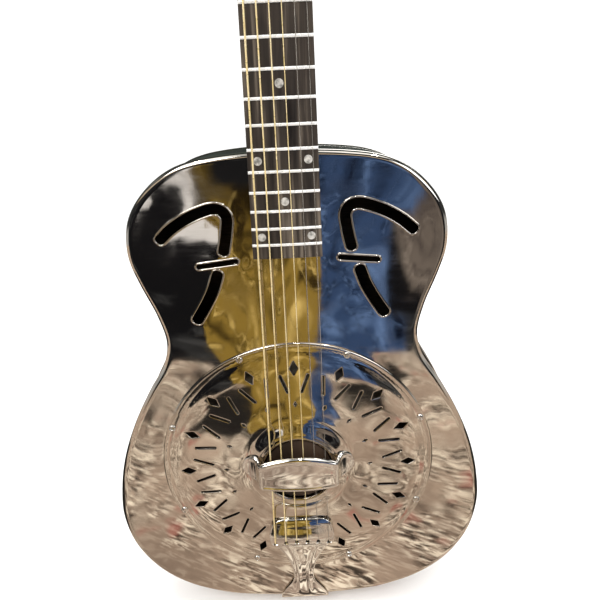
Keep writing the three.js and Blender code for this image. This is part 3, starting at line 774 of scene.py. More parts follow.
def build_cover():
    holes = grille_holes()
    smooth = spline(COVER_PROFILE, 600)
    smooth = smooth[np.argsort(smooth[:, 0])]

    def surface(p):
        r = np.linalg.norm(p, axis=1)
        angle = np.arctan2(p[:, 0], p[:, 1])
        calm = smooth_step(50, 58, r) * (1 - smooth_step(106, 112, r))
        pressed = 0.05 * np.sin((r - 60) / 5.2) + 0.05 * np.sin(angle * GRILLE_GROUPS) * np.sin(r / 11.0)
        h = np.interp(r, smooth[:, 0], smooth[:, 1]) + calm * (pressed + 0.5 * sheet_waves(p))
        return raised(p, h - 0.14 * np.clip(1 - loop_distance(p, holes) / 0.35, 0, 1) ** 2)

    bands = [circle(r, count) for radii, count in COVER_RINGS for r in radii]
    openings = [circle(OPENING_R, 120), *holes]
    plate = sheet(
        circle(COVER_R, 200), openings, surface, 1.1, polar_grid(52, 126, 2.7),
        hole_rings=(0.14, 0.35, 0.9), marks=bands,
    )
    piece("cover_skin", plate, COVER_NICKEL, stands_for=["coverplate"])
    for i in range(8):
        a = (i + 0.5) * math.pi / 4
        x, z = SCREW_R * math.sin(a), SCREW_R * math.cos(a)
        head = slotted_screw(x, z, 1.7, 3.2, 1.45, 1.75, 0.7 + 1.9 * i)
        shank = lathe([(0, 1.6), (1.45, 1.6), (1.45, -7.4), (0, -9)], 20, x, z)
        name = f"coverplate_screw_{i + 1}"
        piece(f"cover_screw_{i + 1}", [head, shank], SCREW, stands_for=[name])


# ---- hand rest

REST_PROFILE = [
    (52.6, 4.9), (50, 5.2), (47, 6.1), (43.6, 8.0), (40.6, 10.3), (38.7, 12.6), (37.9, 15.2),
    (37.1, 18.2), (35.4, 20.3), (32.6, 21.1), (26, 21.3), (14, 21.4), (0, 21.45),
]
REST_STOPS = [
    0, 0.01, 0.022, 0.036, 0.052, 0.07, 0.09, 0.115, 0.145, 0.18, 0.22, 0.27, 0.33, 0.39, 0.44, 0.5,
]


def rest_edges(x):
    """Where the hand rest's neck-side and tail-side edges run, at a distance x from its middle."""
    x = np.abs(x)
    top = 14.6 + (1 - np.minimum(x / 37.8, 1) ** 2) * 7.4
    tail = -11 - (1 - np.minimum(x / 37.8, 1) ** 2) * 4
    foot = smooth_step(37.6, 41.5, x)
    round_off = np.sqrt(np.clip(1 - (np.maximum(x - 40, 0) / 12.9) ** 2, 0, 1))
    top = top * (1 - foot) + (3.5 + 13.8 * round_off) * foot
    tail = tail * (1 - foot) + (3.5 - 12.8 * round_off) * foot
    return tail, top


def rest_relief(x, stops):
    """Where the stops across the hand rest lie, and how far each stands out of its profile."""
    tail, top = rest_edges(x)
    z = tail + (top - tail) * stops
    from_tail, from_top = z - tail, top - z
    middle = 1 - smooth_step(31, 37.5, abs(x))
    rim = 1.25 * hump(from_top, 2.3, 1.9) + 0.2 * hump(from_tail, 2.0, 1.6)
    rim += 0.5 * hump(max(34.5 - abs(x), 0), 0, 1.8) * (middle > 0)
    dish = -0.4 * middle * np.sin(np.pi * stops) ** 2
    fall = 1.2 * np.clip(1 - from_top / 1.5, 0, 1) ** 2 + 1.1 * np.clip(1 - from_tail / 1.4, 0, 1) ** 2
    return z, (rim * (0.25 + 0.75 * middle) + dish - fall) * min((top - tail) / 14, 1)


def build_hand_rest():
    half = np.array(REST_PROFILE)
    profile = spline(np.vstack([half, half[:-1][::-1] * [-1, 1]])[::-1], 141)
    along = unit(np.gradient(profile, axis=0))
    normal = np.column_stack([-along[:, 1], along[:, 0]])
    normal *= np.where(normal[:, 1:] < -0.2, -1, 1)
    stops = np.array(REST_STOPS + [1 - s for s in REST_STOPS[-2::-1]])
    loops = []
    for (x, h), n in zip(profile, normal):
        z, relief = rest_relief(x, stops)
        front = [(x + n[0] * r, h + n[1] * r, at) for r, at in zip(relief, z)]
        back = [(x + n[0] * r, h + n[1] * r, at) for r, at in zip(relief - SHEET, z)]
        loops.append(np.array(front + back[::-1]))
    piece("hand_rest_skin", rings(loops), CHROME, stands_for=["hand_rest"], sharp=50)


# ---- bridge and cone


CONE_START, CONE_WIDTH, CONE_DROP, CONE_STEPS = 34, 74, 24.2, 37
CONE_RIM = [(109.5, -23.7), (112, -24), (117.2, -24), (117.2, -24.9), (111.8, -24.9), (107.6, -24.5)]
BISCUIT = [(1.9, 2.3), (31.2, 2.3), (31.5, 2.7), (31.5, 6.7), (31.3, 7.3), (30.7, 7.7), (1.9, 7.7)]
SADDLE_HALF, SADDLE_CREST, SADDLE_FOOT = 31, 16.19, 8.0


def carved_bar(half, steps, crest, spread, dip, clearance, section):
    """A bar across the strings with a groove under each; section(x, top) is its outline (h, z)."""
    xs = np.linspace(-half, half, steps)
    tops = crest - crown_drop(xs)
    for i, radius in enumerate(STRING_RADII):
        away = np.abs(xs - string_x(i, spread))
        tops -= dip * np.clip(1 - away / (radius + clearance), 0, 1)
    return rings([np.array([(x, *point) for point in section(x, top)]) for x, top in zip(xs, tops)])


def saddle_section(_, top):
    edge = [(SADDLE_FOOT, -2), (top - 1.6, -1.9), (top - 0.5, -1.5), (top, -0.7)]
    return edge + [(h, -z) for h, z in edge[::-1]]


def build_bridge():
    slope = []
    for k in range(CONE_STEPS + 1):
        r = CONE_START + CONE_WIDTH * k / CONE_STEPS
        wave = 0.28 * math.sin((r - CONE_START) * 0.85)
        slope.append((r, 1.0 - (r - CONE_START) / CONE_WIDTH * CONE_DROP + wave))
    cone = [(1.9, 2.0), (29, 2.0), (31.5, 1.9), (33, 1.2), *slope]
    cone += CONE_RIM + [(r, h - 0.8) for r, h in slope[::-1]] + [(32.5, 0.2), (29.8, 1.1), (1.9, 1.1)]
    piece("cone_skin", lathe(cone, 120), ALUMINIUM, stands_for=["resonator_cone"])
    # The biscuit is near black: painted shade under the hand rest.
    piece("biscuit", lathe(BISCUIT, 96), MAPLE, stands_for=["bridge_biscuit"])
    saddle = carved_bar(SADDLE_HALF, 187, SADDLE_CREST, SADDLE_SPREAD, 0.25, 0.35, saddle_section)
    piece("saddle", saddle, STICK, stands_for=["bridge_saddle"])


# ---- neck, board and nut

HEEL = [
    (288.5, 64), (291.5, 57), (295.5, 47), (301, 37), (308.5, 28.5), (319, 22), (332, 18.8), (346, 17.7),
    (480, 16.4), (635, 15.2), (653, 15.2),
]
HEAD_HALF = [
    (0, 22.4), (8, 22.9), (21, 26.5), (31, 33), (40, 36.4), (70, 36.2), (112, 36.6), (140, 38.2),
    (152, 38.8),
]
HEAD_THICK = 15
CREST = [(0, 153.6), (8, 154.5), (22, 157.5), (38.8, 152)]
NECK_STATIONS = (
    (288.5, 346, 40), (353, 632, 30), (636, 652.9, 10), (653, 690, 24), (693, 779, 34), (781, 799.5, 14),
)
NECK_CORNER = 0.7
BLEND_START, BLEND_END, BLEND_SIZE = 625, 720, 1.1
CREST_START, CREST_END = 118, 152
BOARD_THICK = 6
DOTS = {
    3: (0,), 5: (0,), 7: (-16, 16), 9: (0,), 12: (0,), 15: (-19, 19), 17: (0,), 19: (-19.5, 19.5),
}


def neck_ring(half, front, back, power, turn, up):
    """One cross-section: flat front, rounded back. turn leans it with the head."""
    points = []
    for x in np.linspace(-1, 1, 13):
        drop = NECK_CORNER * max(abs(x) - 0.93, 0) / 0.07
        points.append((x * (half - 0.15 * drop), drop))
    for k in range(1, 32):
        a = math.pi * k / 32
        c, s = math.cos(a), math.sin(a)
        depth = NECK_CORNER + (back - front - NECK_CORNER) * s**power
        points.append((math.copysign(abs(c) ** power, c) * half, depth))
    return np.array([(x, -(y + front), up - y * turn) for x, y in points])


def neck_section(z, deep, head, crest):
    """The neck's cross-section at z: heel and neck below HEAD_START, the leaning head above."""
    slope, cos_tilt = math.tan(HEAD_TILT), math.cos(HEAD_TILT)
    up_head = (z - HEAD_START) / cos_tilt
    face = HEAD_Y + (z - HEAD_START) * slope
    front, half = 6.3 - board_top(z), board_half(z) - 0.3
    neck_back = front + np.interp(z, deep[:, 0], deep[:, 1])
    if z >= HEAD_START:
        front, half = face, np.interp(up_head, head[:, 0], head[:, 1])
    back = neck_back
    if z > BLEND_START:
        back = face + HEAD_THICK / cos_tilt
        if z <= BLEND_END:
            back = BLEND_SIZE * np.logaddexp(neck_back / BLEND_SIZE, back / BLEND_SIZE)
    power = 0.85 - 0.73 * smooth_step(655, 684, z)
    ring = neck_ring(half, front, back, power, smooth_step(653, 690, z) * slope * 0.93, z)
    if up_head > CREST_START:
        want = np.interp(np.abs(ring[:, 0]), crest[:, 0], crest[:, 1])
        rise = smooth_step(CREST_START, CREST_END, up_head) * (want - CREST_END) * cos_tilt
        ring[:, 2] += rise
        ring[:, 1] -= rise * slope
    return ring


def build_neck():
    deep, head, crest = spline(HEEL, 400), spline(HEAD_HALF, 200), np.array(CREST, float)
    loops = []
    for start, end, count in NECK_STATIONS:
        loops += [neck_section(z, deep, head, crest) for z in np.linspace(start, end, count)]
    last = loops[-1]
    inward = last * [0.985, 1, 1] + [0, 0, 0.35]
    middle = last[:, 1].mean()
    inward[:, 1] = middle + (last[:, 1] - middle) * 0.93
    loops.append(inward)
    piece("neck_skin", rings(loops), MAHOGANY, stands_for=["neck"], sharp=45)


def build_board():
    rows = []
    up_body, up_neck = np.linspace(210, BODY_TOP, 19), np.linspace(295, SCALE, 70)
    for z in (205, 205.15, 205.5, 206.2, *up_body, 288, 288.8, *up_neck):
        half = board_half(z)
        top = board_top(z) - 0.7 * max(0, 1 - (z - BOARD_END) / 0.8) ** 2
        under = 0.35 if z < 288.4 else board_top(z) - BOARD_THICK
        edge = [(half, top - crown_drop(half) - 0.5, z), (half, under, z)]
        row = [(-x, h, z) for x, h, _ in edge[::-1]]
        row += [(x, top - crown_drop(x), z) for x in np.linspace(-1, 1, 17) * (half - 0.35)]
        rows.append(np.array(row + edge))
    piece("board_skin", rings(rows), ROSEWOOD, stands_for=["fingerboard"], sharp=40)
    wires = [fret(fret_z(n)) for n in range(1, 20)]
    # The frets' near-white colour is painted highlight.
    piece("frets", wires, FRET_WIRE, sharp=60)


def dot(x, z):
    top = board_top(z)
    return slab(
        circle(3.2, 36, x, z), top - 1.5, top + 0.06, 0.1,
        lift=lambda p: -crown_drop(p[:, 0]) - (p[:, 1] - z) * TILT,
    )


def side_dot(z):
    x, h = -board_half(z), board_top(z) - 3
    turns = np.linspace(0, 2 * math.pi, 16, endpoint=False)
    loops = []
    for d, r in ((0.6, 0.9), (-0.02, 0.9), (-0.05, 0.8)):
        loops.append(np.array([(x + d, h + r * math.cos(a), z + r * math.sin(a)) for a in turns]))
    return rings(loops)


def build_dots():
    places = [(x, (fret_z(n) + fret_z(n - 1)) / 2) for n, xs in DOTS.items() for x in xs]
    piece("position_dots", [dot(x, z) for x, z in places], PEARL, sharp=50)
    marks = [side_dot((fret_z(n) + fret_z(n - 1)) / 2) for n in DOTS if n < 19]
    piece("side_dots", marks, PEARL, sharp=50)


def nut_section(x, top):
    foot = board_top(HEAD_START) - BOARD_THICK
    top = top - 0.6 * max(0, abs(x) - 21.6) / 0.75
    return [
        (foot, 648.3), (top - 0.7, 648.35), (top - 0.1, 648.8), (top, 649.6),
        (top - 0.25, 651.4), (top - 0.9, 652.5), (top - 1.6, 652.7), (foot, 652.7),
    ]


def build_nut():
    nut = carved_bar(NUT_HALF, 181, NUT_CREST, NUT_SPREAD, 0.22, 0.25, nut_section)
    piece("nut_skin", nut, BONE, stands_for=["nut"])
    right = [(9, 3), (10.4, 14), (8.5, 24), (5.2, 32)]
    left = [(-x, z) for x, z in right[::-1]]
    plate = rounded([left[-1], *right, (0, 38), *left[:-1]], 2.2, 4)
    cover = face_on(slab(plate, 0.05, 1.9, 0.5))
    piece("truss_plate", on_head(cover), BLACK, stands_for=["truss_rod_cover"])
    places = ((-5.6, 7), (5.6, 7), (0, 32.5))
    screws = [face_on(slotted_screw(x, z, 1.85, 1.5, 1.2, 0.6, 0.5 + x)) for x, z in places]
    piece("truss_plate_screws", on_head(*screws), SCREW)


def fret(z):
    """One fret: a half-round crown that follows the board, with its ends filed at a slant."""
    half = board_half(z)
    loops = []
    for t in np.concatenate([[-1, -0.99, -0.975], np.linspace(-0.95, 0.95, 17), [0.975, 0.99, 1]]):
        x = t * (half + 0.02)
        filed = min(1, (1 - abs(t)) / 0.03)
        rise = 1.15 * (0.12 + 0.88 * math.sin(filed * math.pi / 2))
        base = board_top(z) - crown_drop(x)
        ring = []
        for k in range(9):
            a = math.pi * k / 8
            ring.append((x, base + rise * math.sin(a) ** 0.8, z - 1.15 * math.cos(a)))
        ring += [(x, base - 0.8, z + 0.3), (x, base - 0.8, z - 0.3)]
        loops.append(np.array(ring))
    return rings(loops)


# ---- tailpiece and end pin

TAIL_LINE = [
    (-60.6, 4.6, 9), (-61.2, 6.2, 17.5), (-62.6, 7.7, 24), (-65.5, 8.7, 28.2), (-71, 9.9, 30.6),
    (-77, 11.3, 31.9), (-82, 12.4, 31.6), (-85.5, 12.7, 31), (-88.2, 11.4, 30.4), (-90.5, 8.9, 29.6),
    (-93, 6.7, 28.4), (-97, 5.6, 25.4), (-102, 5.2, 21.8),
    (-110, 4.7, 17), (-119, 4.3, 13.4), (-129, 3.9, 11), (-139, 3.5, 10.2), (-147, 3.0, 11.8),
    (-154, 2.5, 16.4), (-161, 2.2, 21.2), (-167, 1.9, 24), (-171.4, 0.9, 24.8), (-172.5, -2.6, 25),
    (-172.5, -16, 23), (-172.5, -30, 15.5), (-172.5, -42, 9.5), (-172.5, -50, 5),
]
CREASE = [
    (86, 17.6), (92, 15.2), (102, 11), (113, 7.6), (124, 5.8), (140, 5.1), (155, 5.6), (166, 7),
]
TAIL_THICK = 1.3
SLOT_TOP, SLOT_LOW = 81.4, 86.4
PIN_DEPTH = 40
PIN = [
    (0, -152), (3.2, -152), (3.2, -173.6), (5.0, -173.6), (5.4, -174.1), (5.2, -175.2), (4.5, -176.8),
    (4.3, -178.4), (5.0, -180.4), (6.4, -181.7), (7.3, -182.6), (7.5, -183.4), (7.3, -184.3),
    (6.5, -184.85), (4.0, -185), (0, -185),
]


def tail_arch(i):
    """How much further down the string ends sit at the sides of the tailpiece."""
    return 2.4 * (i / 2.5 - 1) ** 2


def tail_slots(line, run):
    near = run < 160
    out = []
    for i in range(6):
        x = string_x(i, TAIL_SPREAD)
        ends = [SLOT_TOP + tail_arch(i), SLOT_LOW + tail_arch(i)]
        top, low = np.interp(ends, -line[near, 0], run[near])
        corners = [(x - 2.6, -low), (x + 2.6, -low), (x + 1.2, -top), (x - 1.2, -top)]
        out.append(rounded(corners, 0.7, 3))
    return out


def build_tail():
    line, creases = spline(TAIL_LINE, 500), spline(CREASE, 80)
    run = run_along(line[:, :2])
    tangent = unit(np.gradient(line[:, :2], axis=0))
    v = np.linspace(0, run[-1], 150)
    right = np.column_stack([np.interp(v, run, line[:, 2]), -v])
    outline = resample(np.vstack([right, right[::-1] * [-1, 1]]), 330, closed=True)
    outer = anticlockwise(rounded(outline, 0.6, 1))
    folded = line[:, 0] < -172
    pin_hole = circle(3.5, 28, 0, -np.interp(PIN_DEPTH, -line[folded, 1], run[folded]))

    def surface(p):
        x, s = p[:, 0], -p[:, 1]
        z, h, wide = (np.interp(s, run, line[:, k]) for k in range(3))
        tz, th = (np.interp(s, run, tangent[:, k]) for k in range(2))
        rib = np.interp(-z, creases[:, 0], creases[:, 1])
        shown = smooth_step(85, 93, -z) * (1 - smooth_step(158, 170, -z)) * (h > 0)
        dish = np.clip(1 - np.abs(x) / np.maximum(rib, 1), 0, 1) * (h > 0)
        lift = 0.75 * shown * hump(np.abs(x), rib, 1.5)
        lift -= 1.1 * dish * smooth_step(86, 92, -z) * (1 - smooth_step(106, 124, -z))
        lift -= 0.5 * np.clip(1 - (wide - np.abs(x)) / 0.8, 0, 1) ** 2
        bow = 1.6 * (x / np.maximum(wide, 1)) ** 2 * smooth_step(-93, -84, z)
        return np.column_stack([x, h - lift * tz - bow, z + lift * th])

    openings = [*tail_slots(line, run), pin_hole]
    grid = square_grid((-33, -run[-1] - 1), (33, 1), 1.5)
    plate = sheet(outer, openings, surface, TAIL_THICK, grid, (0.3, 0.8), (0.25,))
    piece("tail_skin", plate, CHROME, stands_for=["tailpiece"], sharp=50)
    loops = []
    for r, z in PIN:
        ring = circle(max(r, 1e-3), 40)
        loops.append(np.column_stack([ring[:, 0], ring[:, 1] - PIN_DEPTH, np.full(40, z)]))
    piece("end_pin_skin", rings(loops), HARDWARE, stands_for=["end_pin"])


# ---- strings

BALL = [(0.9, -1.3), (1.9, -1.3), (2.0, 0), (1.9, 1.3), (0.9, 1.3)]
COIL_STEPS = 25
SIDES = (-1, -1, -1, 1, 1, 1)


def string_path(i):
    """From the tailpiece's slot over the saddle and the nut to the post."""
    radius = STRING_RADII[i]
    lift, arch = radius + 0.3, tail_arch(i)
    tail_x, saddle_x, nut_x = (string_x(i, s) for s in (TAIL_SPREAD, SADDLE_SPREAD, NUT_SPREAD))
    saddle_h = 16.49 + radius - crown_drop(saddle_x)
    nut_h = 1.64 + radius - crown_drop(nut_x)
    return [
        (tail_x, 7.4, -84.9), (tail_x, 10.6, -84.0), (tail_x, 11.6 + lift, -81.6 - arch),
        (tail_x, 11.7 + lift, -80 - arch), (tail_x, 11.75 + lift, -78.5 - arch),
        (saddle_x, saddle_h - 0.03, -1.2), (saddle_x, saddle_h, 0), (saddle_x, saddle_h - 0.01, 1.2),
        (nut_x, nut_h, 649), (nut_x, nut_h, 653.0),
        *head_place([(POSTS[i][0] - SIDES[i] * (3.7 + lift), -5, POSTS[i][1])]),
    ]


def coil_path(i):
    """Three turns and a bit round the post, in the head's own frame."""
    radius, side, (x, z) = STRING_RADII[i], SIDES[i], POSTS[i]
    low, pitch = (-5.6, 2.2) if radius > 0.3 else (-5, 2.4)
    r = 3.72 + radius
    points = []
    for k in range(COIL_STEPS * 3 + 8):
        a = (math.pi if side > 0 else 0) + side * 2 * math.pi * k / COIL_STEPS
        y = min(low + pitch * radius * k / COIL_STEPS, -1.2)
        points.append((x + r * math.cos(a), y, z + r * math.sin(a)))
    return points


def build_strings():
    for i, radius in enumerate(STRING_RADII):
        n = i + 1
        metal, slot = (BRONZE, "string_bronze") if i < 4 else (PLAIN_WIRE, "string_steel")
        wire = tube(string_path(i), radius, 14)
        piece(f"wire_{n}", wire, metal, stands_for=[f"string_{n}"], sharp=70)
        coil = on_head(tube(coil_path(i), radius, 10))
        piece(f"coil_{n}", coil, metal, body=f"post_{n}", sharp=70)
    balls = [moved(lathe(BALL, 20), string_x(i, TAIL_SPREAD), 6.0, -85.4) for i in range(6)]
    piece("ball_ends", balls, BRASS)


# ---- tuners

POST = [
    (0, 22.4), (2.25, 22.4), (2.25, 16.8), (3.0, 16.8), (3.0, -2.8), (3.7, -3.4), (3.7, -6.5),
    (3.0, -7.0), (2.95, -7.4), (3.05, -8), (3.05, -12.2), (2.8, -12.9), (2.2, -13.2), (0, -13.2),
]
KNOB = [
    (0, 43.4), (2.6, 43.4), (3.3, 43.8), (3.7, 44.4), (5.0, 45.6), (6.8, 47.0), (7.8, 48.8),
    (8.2, 51.0), (8.0, 53.2), (7.2, 55.2), (5.6, 56.7), (3.4, 57.6), (1.5, 57.95), (0, 58),
]
FERRULE = [
    (3.2, 0.2), (5.4, 0.2), (5.4, -0.5), (4.9, -1.0), (4.3, -1.2), (3.9, -2.2), (3.3, -2.3), (3.2, -2.0),
]
TOOTH = [(5.5, -0.30), (5.7, -0.26), (6.95, -0.13), (6.95, 0.13), (5.7, 0.26), (5.5, 0.30)]
TEETH = 14
THREAD_PITCH = 2.5
LUG_STARTS, LUG_THICK = (14.2, 27.2), 1.9


def turned_x(profile, segments, side, z, squash=1.0, radius_at=None):
    """(radius, x) pairs turned about a worm's axis, in the head's own frame."""
    a = np.arange(segments) * 2 * math.pi / segments
    loops = []
    for r, x in profile:
        r = radius_at(x, a, r) if radius_at else max(r, 1e-3)
        y = WORM_DEPTH + squash * r * np.cos(a)
        loops.append(np.column_stack([np.full(segments, x * side), y, z + r * np.sin(a)]))
    return rings(loops)


def gear(x, z):
    outline = []
    for k in range(TEETH):
        for r, part in TOOTH:
            a = (k + part) * 2 * math.pi / TEETH
            outline.append((r * math.sin(a), r * math.cos(a)))
    body = slab(anticlockwise(np.array(outline)), WORM_DEPTH - 2.2, WORM_DEPTH + 2.2, 0.35)
    cap = lathe([(0, 22.0), (3.6, 22.0), (3.6, 23.1), (3.1, 23.6), (0, 23.7)], 32)
    return moved(joined([body, cap]), x, 0, z)


def thread(at, a, r):
    """The worm's radius at a place and angle: a shaft with a thread cut on part of it."""
    cut = smooth_step(17.4, 18.4, at) * (1 - smooth_step(25.2, 26.0, at))
    wave = 0.5 + 0.5 * np.cos(a - 2 * math.pi * at / THREAD_PITCH)
    return r + cut * 1.15 * np.clip(wave * 1.5 - 0.2, 0, 1)


def lug(side, start, z):
    """A bearing lug of the tuner plate, with a rounded back, that the worm's shaft passes through."""
    outer = [(16.3, z - 3.5), (WORM_DEPTH + 0.5, z - 3.5)]
    for k in range(1, 10):
        a = -math.pi / 2 + math.pi * k / 10
        outer.append((WORM_DEPTH + 0.4 + 3.2 * math.cos(a), z + 3.5 * math.sin(a)))
    outer += [(WORM_DEPTH + 0.5, z + 3.5), (16.3, z + 3.5)]

    def surface(p):
        return np.column_stack([np.full(len(p), side * (start + LUG_THICK)), p])

    return sheet(np.array(outer), [circle(2.05, 24, WORM_DEPTH, z)], surface, LUG_THICK * side, [])


def build_tuners():
    screw = [(0.01, 13.4), (1.7, 13.4), (1.8, 13.6)] + [(1.8, q) for q in np.linspace(17, 26.4, 76)]
    screw += [(1.8, 42.6), (1.8, 43), (0.01, 43)]
    for i, (x, z) in enumerate(POSTS):
        n, side, worm_z = i + 1, SIDES[i], z - WORM_DROP
        worm = turned_x(screw, 28, side, worm_z, radius_at=thread)
        grip = turned_x(spline(KNOB, 40), 40, side, worm_z, squash=0.55)
        post = moved(lathe(POST, 36), x, 0, z)
        for name, part, metal, slot, body, node in (
            ("post", post, HARDWARE, "hardware_nickel", "post", "string_post"),
            ("gear", gear(x, z), BRASS, "gear_brass", "post", "string_gear"),
            ("worm", worm, HARDWARE, "hardware_nickel", "tuner_key", "tuner_worm"),
            ("button", grip, IVOROID, "button_ivoroid", "tuner_key", "tuner_button"),
        ):
            piece(f"{name}_skin_{n}", on_head(part), metal, f"{body}_{n}", [f"{node}_{n}"])

    ferrules = [moved(lathe(FERRULE, 40), x, 0, z) for x, z in POSTS]
    piece("post_ferrules", on_head(*ferrules), HARDWARE)
    screws = []
    for name, side in (("tuner_plate_left", -1), ("tuner_plate_right", 1)):
        corners = [(13.6 * side, 26), (33 * side, 26), (33 * side, 124), (13.6 * side, 124)]
        parts = [slab(anticlockwise(rounded(corners, 3.2, 5)), 15.3, 16.5, 0.35)]
        parts += [lug(side, start, z - WORM_DROP) for _, z in POSTS[:3] for start in LUG_STARTS]
        piece(f"{name}_skin", on_head(*parts), HARDWARE, stands_for=[name])
        for x in (16.4, 30.2):
            for z in (29.5, 53.5, 89.5, 120.5):
                screws.append(moved(slotted_screw(x * side, z, 0, 1.9, -0.3, 0.9, z), h=16.55))
    piece("tuner_screws", on_head(*screws), SCREW)


edge = body_outline()
build_top(edge)
build_shell(edge)
build_cover()
build_hand_rest()
build_bridge()
build_neck()
build_board()
build_dots()
build_nut()
build_tail()
build_strings()
build_tuners()

CARRIED_OVER = {
    # The sound well, in painted shade too.
    "sound_well": WELL,
    "biscuit_screw": BRASS,
    "neck_stick": STICK,
    "truss_rod": STEEL,
    "truss_rod_nut": BRASS,
}
for name, material in CARRIED_OVER.items():
    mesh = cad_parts[name].data
    mesh.materials.clear()
    mesh.materials.append(material)

# ---- studio


def stage_piece(name, points, faces, material, for_gloss_only=True):
    mesh = bpy.data.meshes.new(name)
    mesh.from_pydata([tuple(p) for p in points], [], faces)
    mesh.materials.append(material)
    made = bpy.data.objects.new(name, mesh)
    bpy.context.scene.collection.objects.link(made)
    made.visible_glossy = for_gloss_only
    made.visible_camera = not for_gloss_only
    made.visible_diffuse = not for_gloss_only
    made.visible_transmission = not for_gloss_only
    made.visible_shadow = not for_gloss_only


def stage_disc(name, radius, count, z, material, for_gloss_only=True):
    points = np.column_stack([circle(radius, count), np.full(count, z)])
    stage_piece(name, points, [tuple(range(count))], material, for_gloss_only)


def stage_card(name, outline, y, material):
    """An upright card facing the guitar, with its outline (x, z) at the distance y."""
    stage_piece(name, [(x, y, z) for x, z in outline], [tuple(range(len(outline)))], material)


class Glow(Shade):
    """A shade whose colour is its own light, for the cards that only reflections see."""

    def __init__(self, name):
        super().__init__(name, (0, 0, 0), rough=1.0)
        set_inputs(self.shader, Specular_IOR_Level=0, Emission_Strength=1.0)

    def colour(self, source):
        self.link(source, self.shader.inputs["Emission Color"])

    def over(self, under, top, mask, blend="MIX"):
        """The colour top laid over the colour under where mask is 1."""
        made = self.node("ShaderNodeMix", data_type="RGBA", blend_type=blend)
        for key, value in (("Factor", mask), ("A", under), ("B", top)):
            if isinstance(value, tuple):
                made.inputs[key].default_value = (*value, 1)
            elif isinstance(value, float):
                made.inputs[key].default_value = value
            else:
                self.link(value, made.inputs[key])
        return made.outputs["Result"]

    def band(self, axis, low, high, soft):
        """1 between low and high along an axis and 0 outside, with a soft change."""
        rise = self.between(axis, 0, 1, low - soft, low + soft)
        return self.times(rise, self.between(axis, 1, 0, high - soft, high + soft))

    def patch(self, place, box, soft, soft_up=None):
        """1 inside the box (low x, high x, low z, high z) and 0 outside, with a soft change."""
        across = self.band(place[0], *box[:2], soft)
        return self.times(across, self.band(place[1], *box[2:], soft_up or soft))

    def swayed(self, scales=(9, 10), by=0.005, up=2):
        """The place on a card, moved a little to and fro so that nothing on it runs straight."""
        axes = self.axes()
        picked = zip((axes[0], axes[up]), scales)
        return [self.math("ADD", axis, self.between(self.noise(scale, 3), -by, by)) for axis, scale in picked]

    def folds(self, shades, scale, stretch):
        """One colour of cloth with painted light and shade: soft lit and shaded folds, and a few sharp
        creases.
        """
        fac = self.noise(scale, 6, stretch, 1.4)
        soft = self.ramp(fac, (0.36, shades[0]), (0.47, shades[1]), (0.55, shades[1]), (0.67, shades[2]))
        away = self.math("SUBTRACT", self.noise(scale * 0.7, 3, stretch, 2.2), 0.5)
        ridge = self.math("ABSOLUTE", away)
        # Sharp creases: a thin painted highlight along each ridge, with painted shade just beside it.
        lit = self.over(soft, shades[2], self.between(ridge, 0.8, 0, 0.002, 0.012))
        return self.over(lit, shades[0], self.times(self.band(ridge, 0.016, 0.034, 0.006), 0.75))


DARK = (0.03, 0.03, 0.03)
# Each cloth is three copies of one colour, (shaded, mid, lit): painted light and shade for its folds.
OCHRE = ((0.04, 0.024, 0.006), (0.33, 0.21, 0.04), (0.85, 0.60, 0.19))
BLUE = ((0.005, 0.008, 0.018), (0.042, 0.078, 0.175), (0.15, 0.245, 0.47))
TAUPE = ((0.07, 0.055, 0.05), (0.19, 0.155, 0.13), (0.30, 0.25, 0.21))
PALE_PATCHES = ((-0.214, -0.05, 0.325, 0.45), (-0.252, -0.05, 0.266, 0.325))
BLUE_SPREADS = ((0.15, 0.250, 0.312, 0.6), (0.15, 0.232, 0.00, 0.092))
# Patches (low x, high x, low y, high y) darkened on the ground card: painted shadow beside and in front of
# the guitar, and dark things there, for the cover and the body's edges to mirror.
GROUND_SHADES = (
    (-0.22, -0.075, -0.575, -0.37), (0.09, 0.19, -0.60, -0.44), (-0.09, 0.04, -0.375, -0.345),
    (-0.9, -0.27, -0.20, 0.8), (0.27, 0.9, -0.20, 0.8),
)
OCHRE_CARD = [
    (-0.082, 0.002), (0.028, 0.002), (0.026, 0.12), (0.039, 0.17), (0.037, 0.24), (0.042, 0.46),
    (-0.137, 0.46), (-0.139, 0.385), (-0.118, 0.352), (-0.105, 0.283), (-0.126, 0.235),
    (-0.135, 0.17), (-0.122, 0.14), (-0.080, 0.10),
]
BLUE_CARD = [(0.028, 0.002), (0.074, 0.002), (0.056, 0.07), (0.050, 0.15), (0.028, 0.15)]
DOME_RADIUS, DOME_START = 2.6, -0.25
DOME_ROWS, DOME_COLS = 12, 32


def build_floor():
    s = Shade("pale_floor", (0.9, 0.89, 0.88), rough=0.8)
    s.colour(s.ramp(s.noise(1.5, 2), (0.3, (0.89, 0.885, 0.88)), (0.7, (0.91, 0.905, 0.90))))
    stage_disc("floor", 14, 64, -0.0005, s.material, for_gloss_only=False)


def dome():
    points, faces = [], []
    for i in range(DOME_ROWS + 1):
        a = DOME_START + (math.pi / 2 - DOME_START) * i / DOME_ROWS
        ring = circle(DOME_RADIUS * math.cos(a), DOME_COLS)
        points += [(x, y, DOME_RADIUS * math.sin(a)) for x, y in ring]
    for i in range(DOME_ROWS):
        for j in range(DOME_COLS):
            k, low, high = (j + 1) % DOME_COLS, i * DOME_COLS, (i + 1) * DOME_COLS
            faces.append((low + j, low + k, high + k, high + j))
    return points, faces


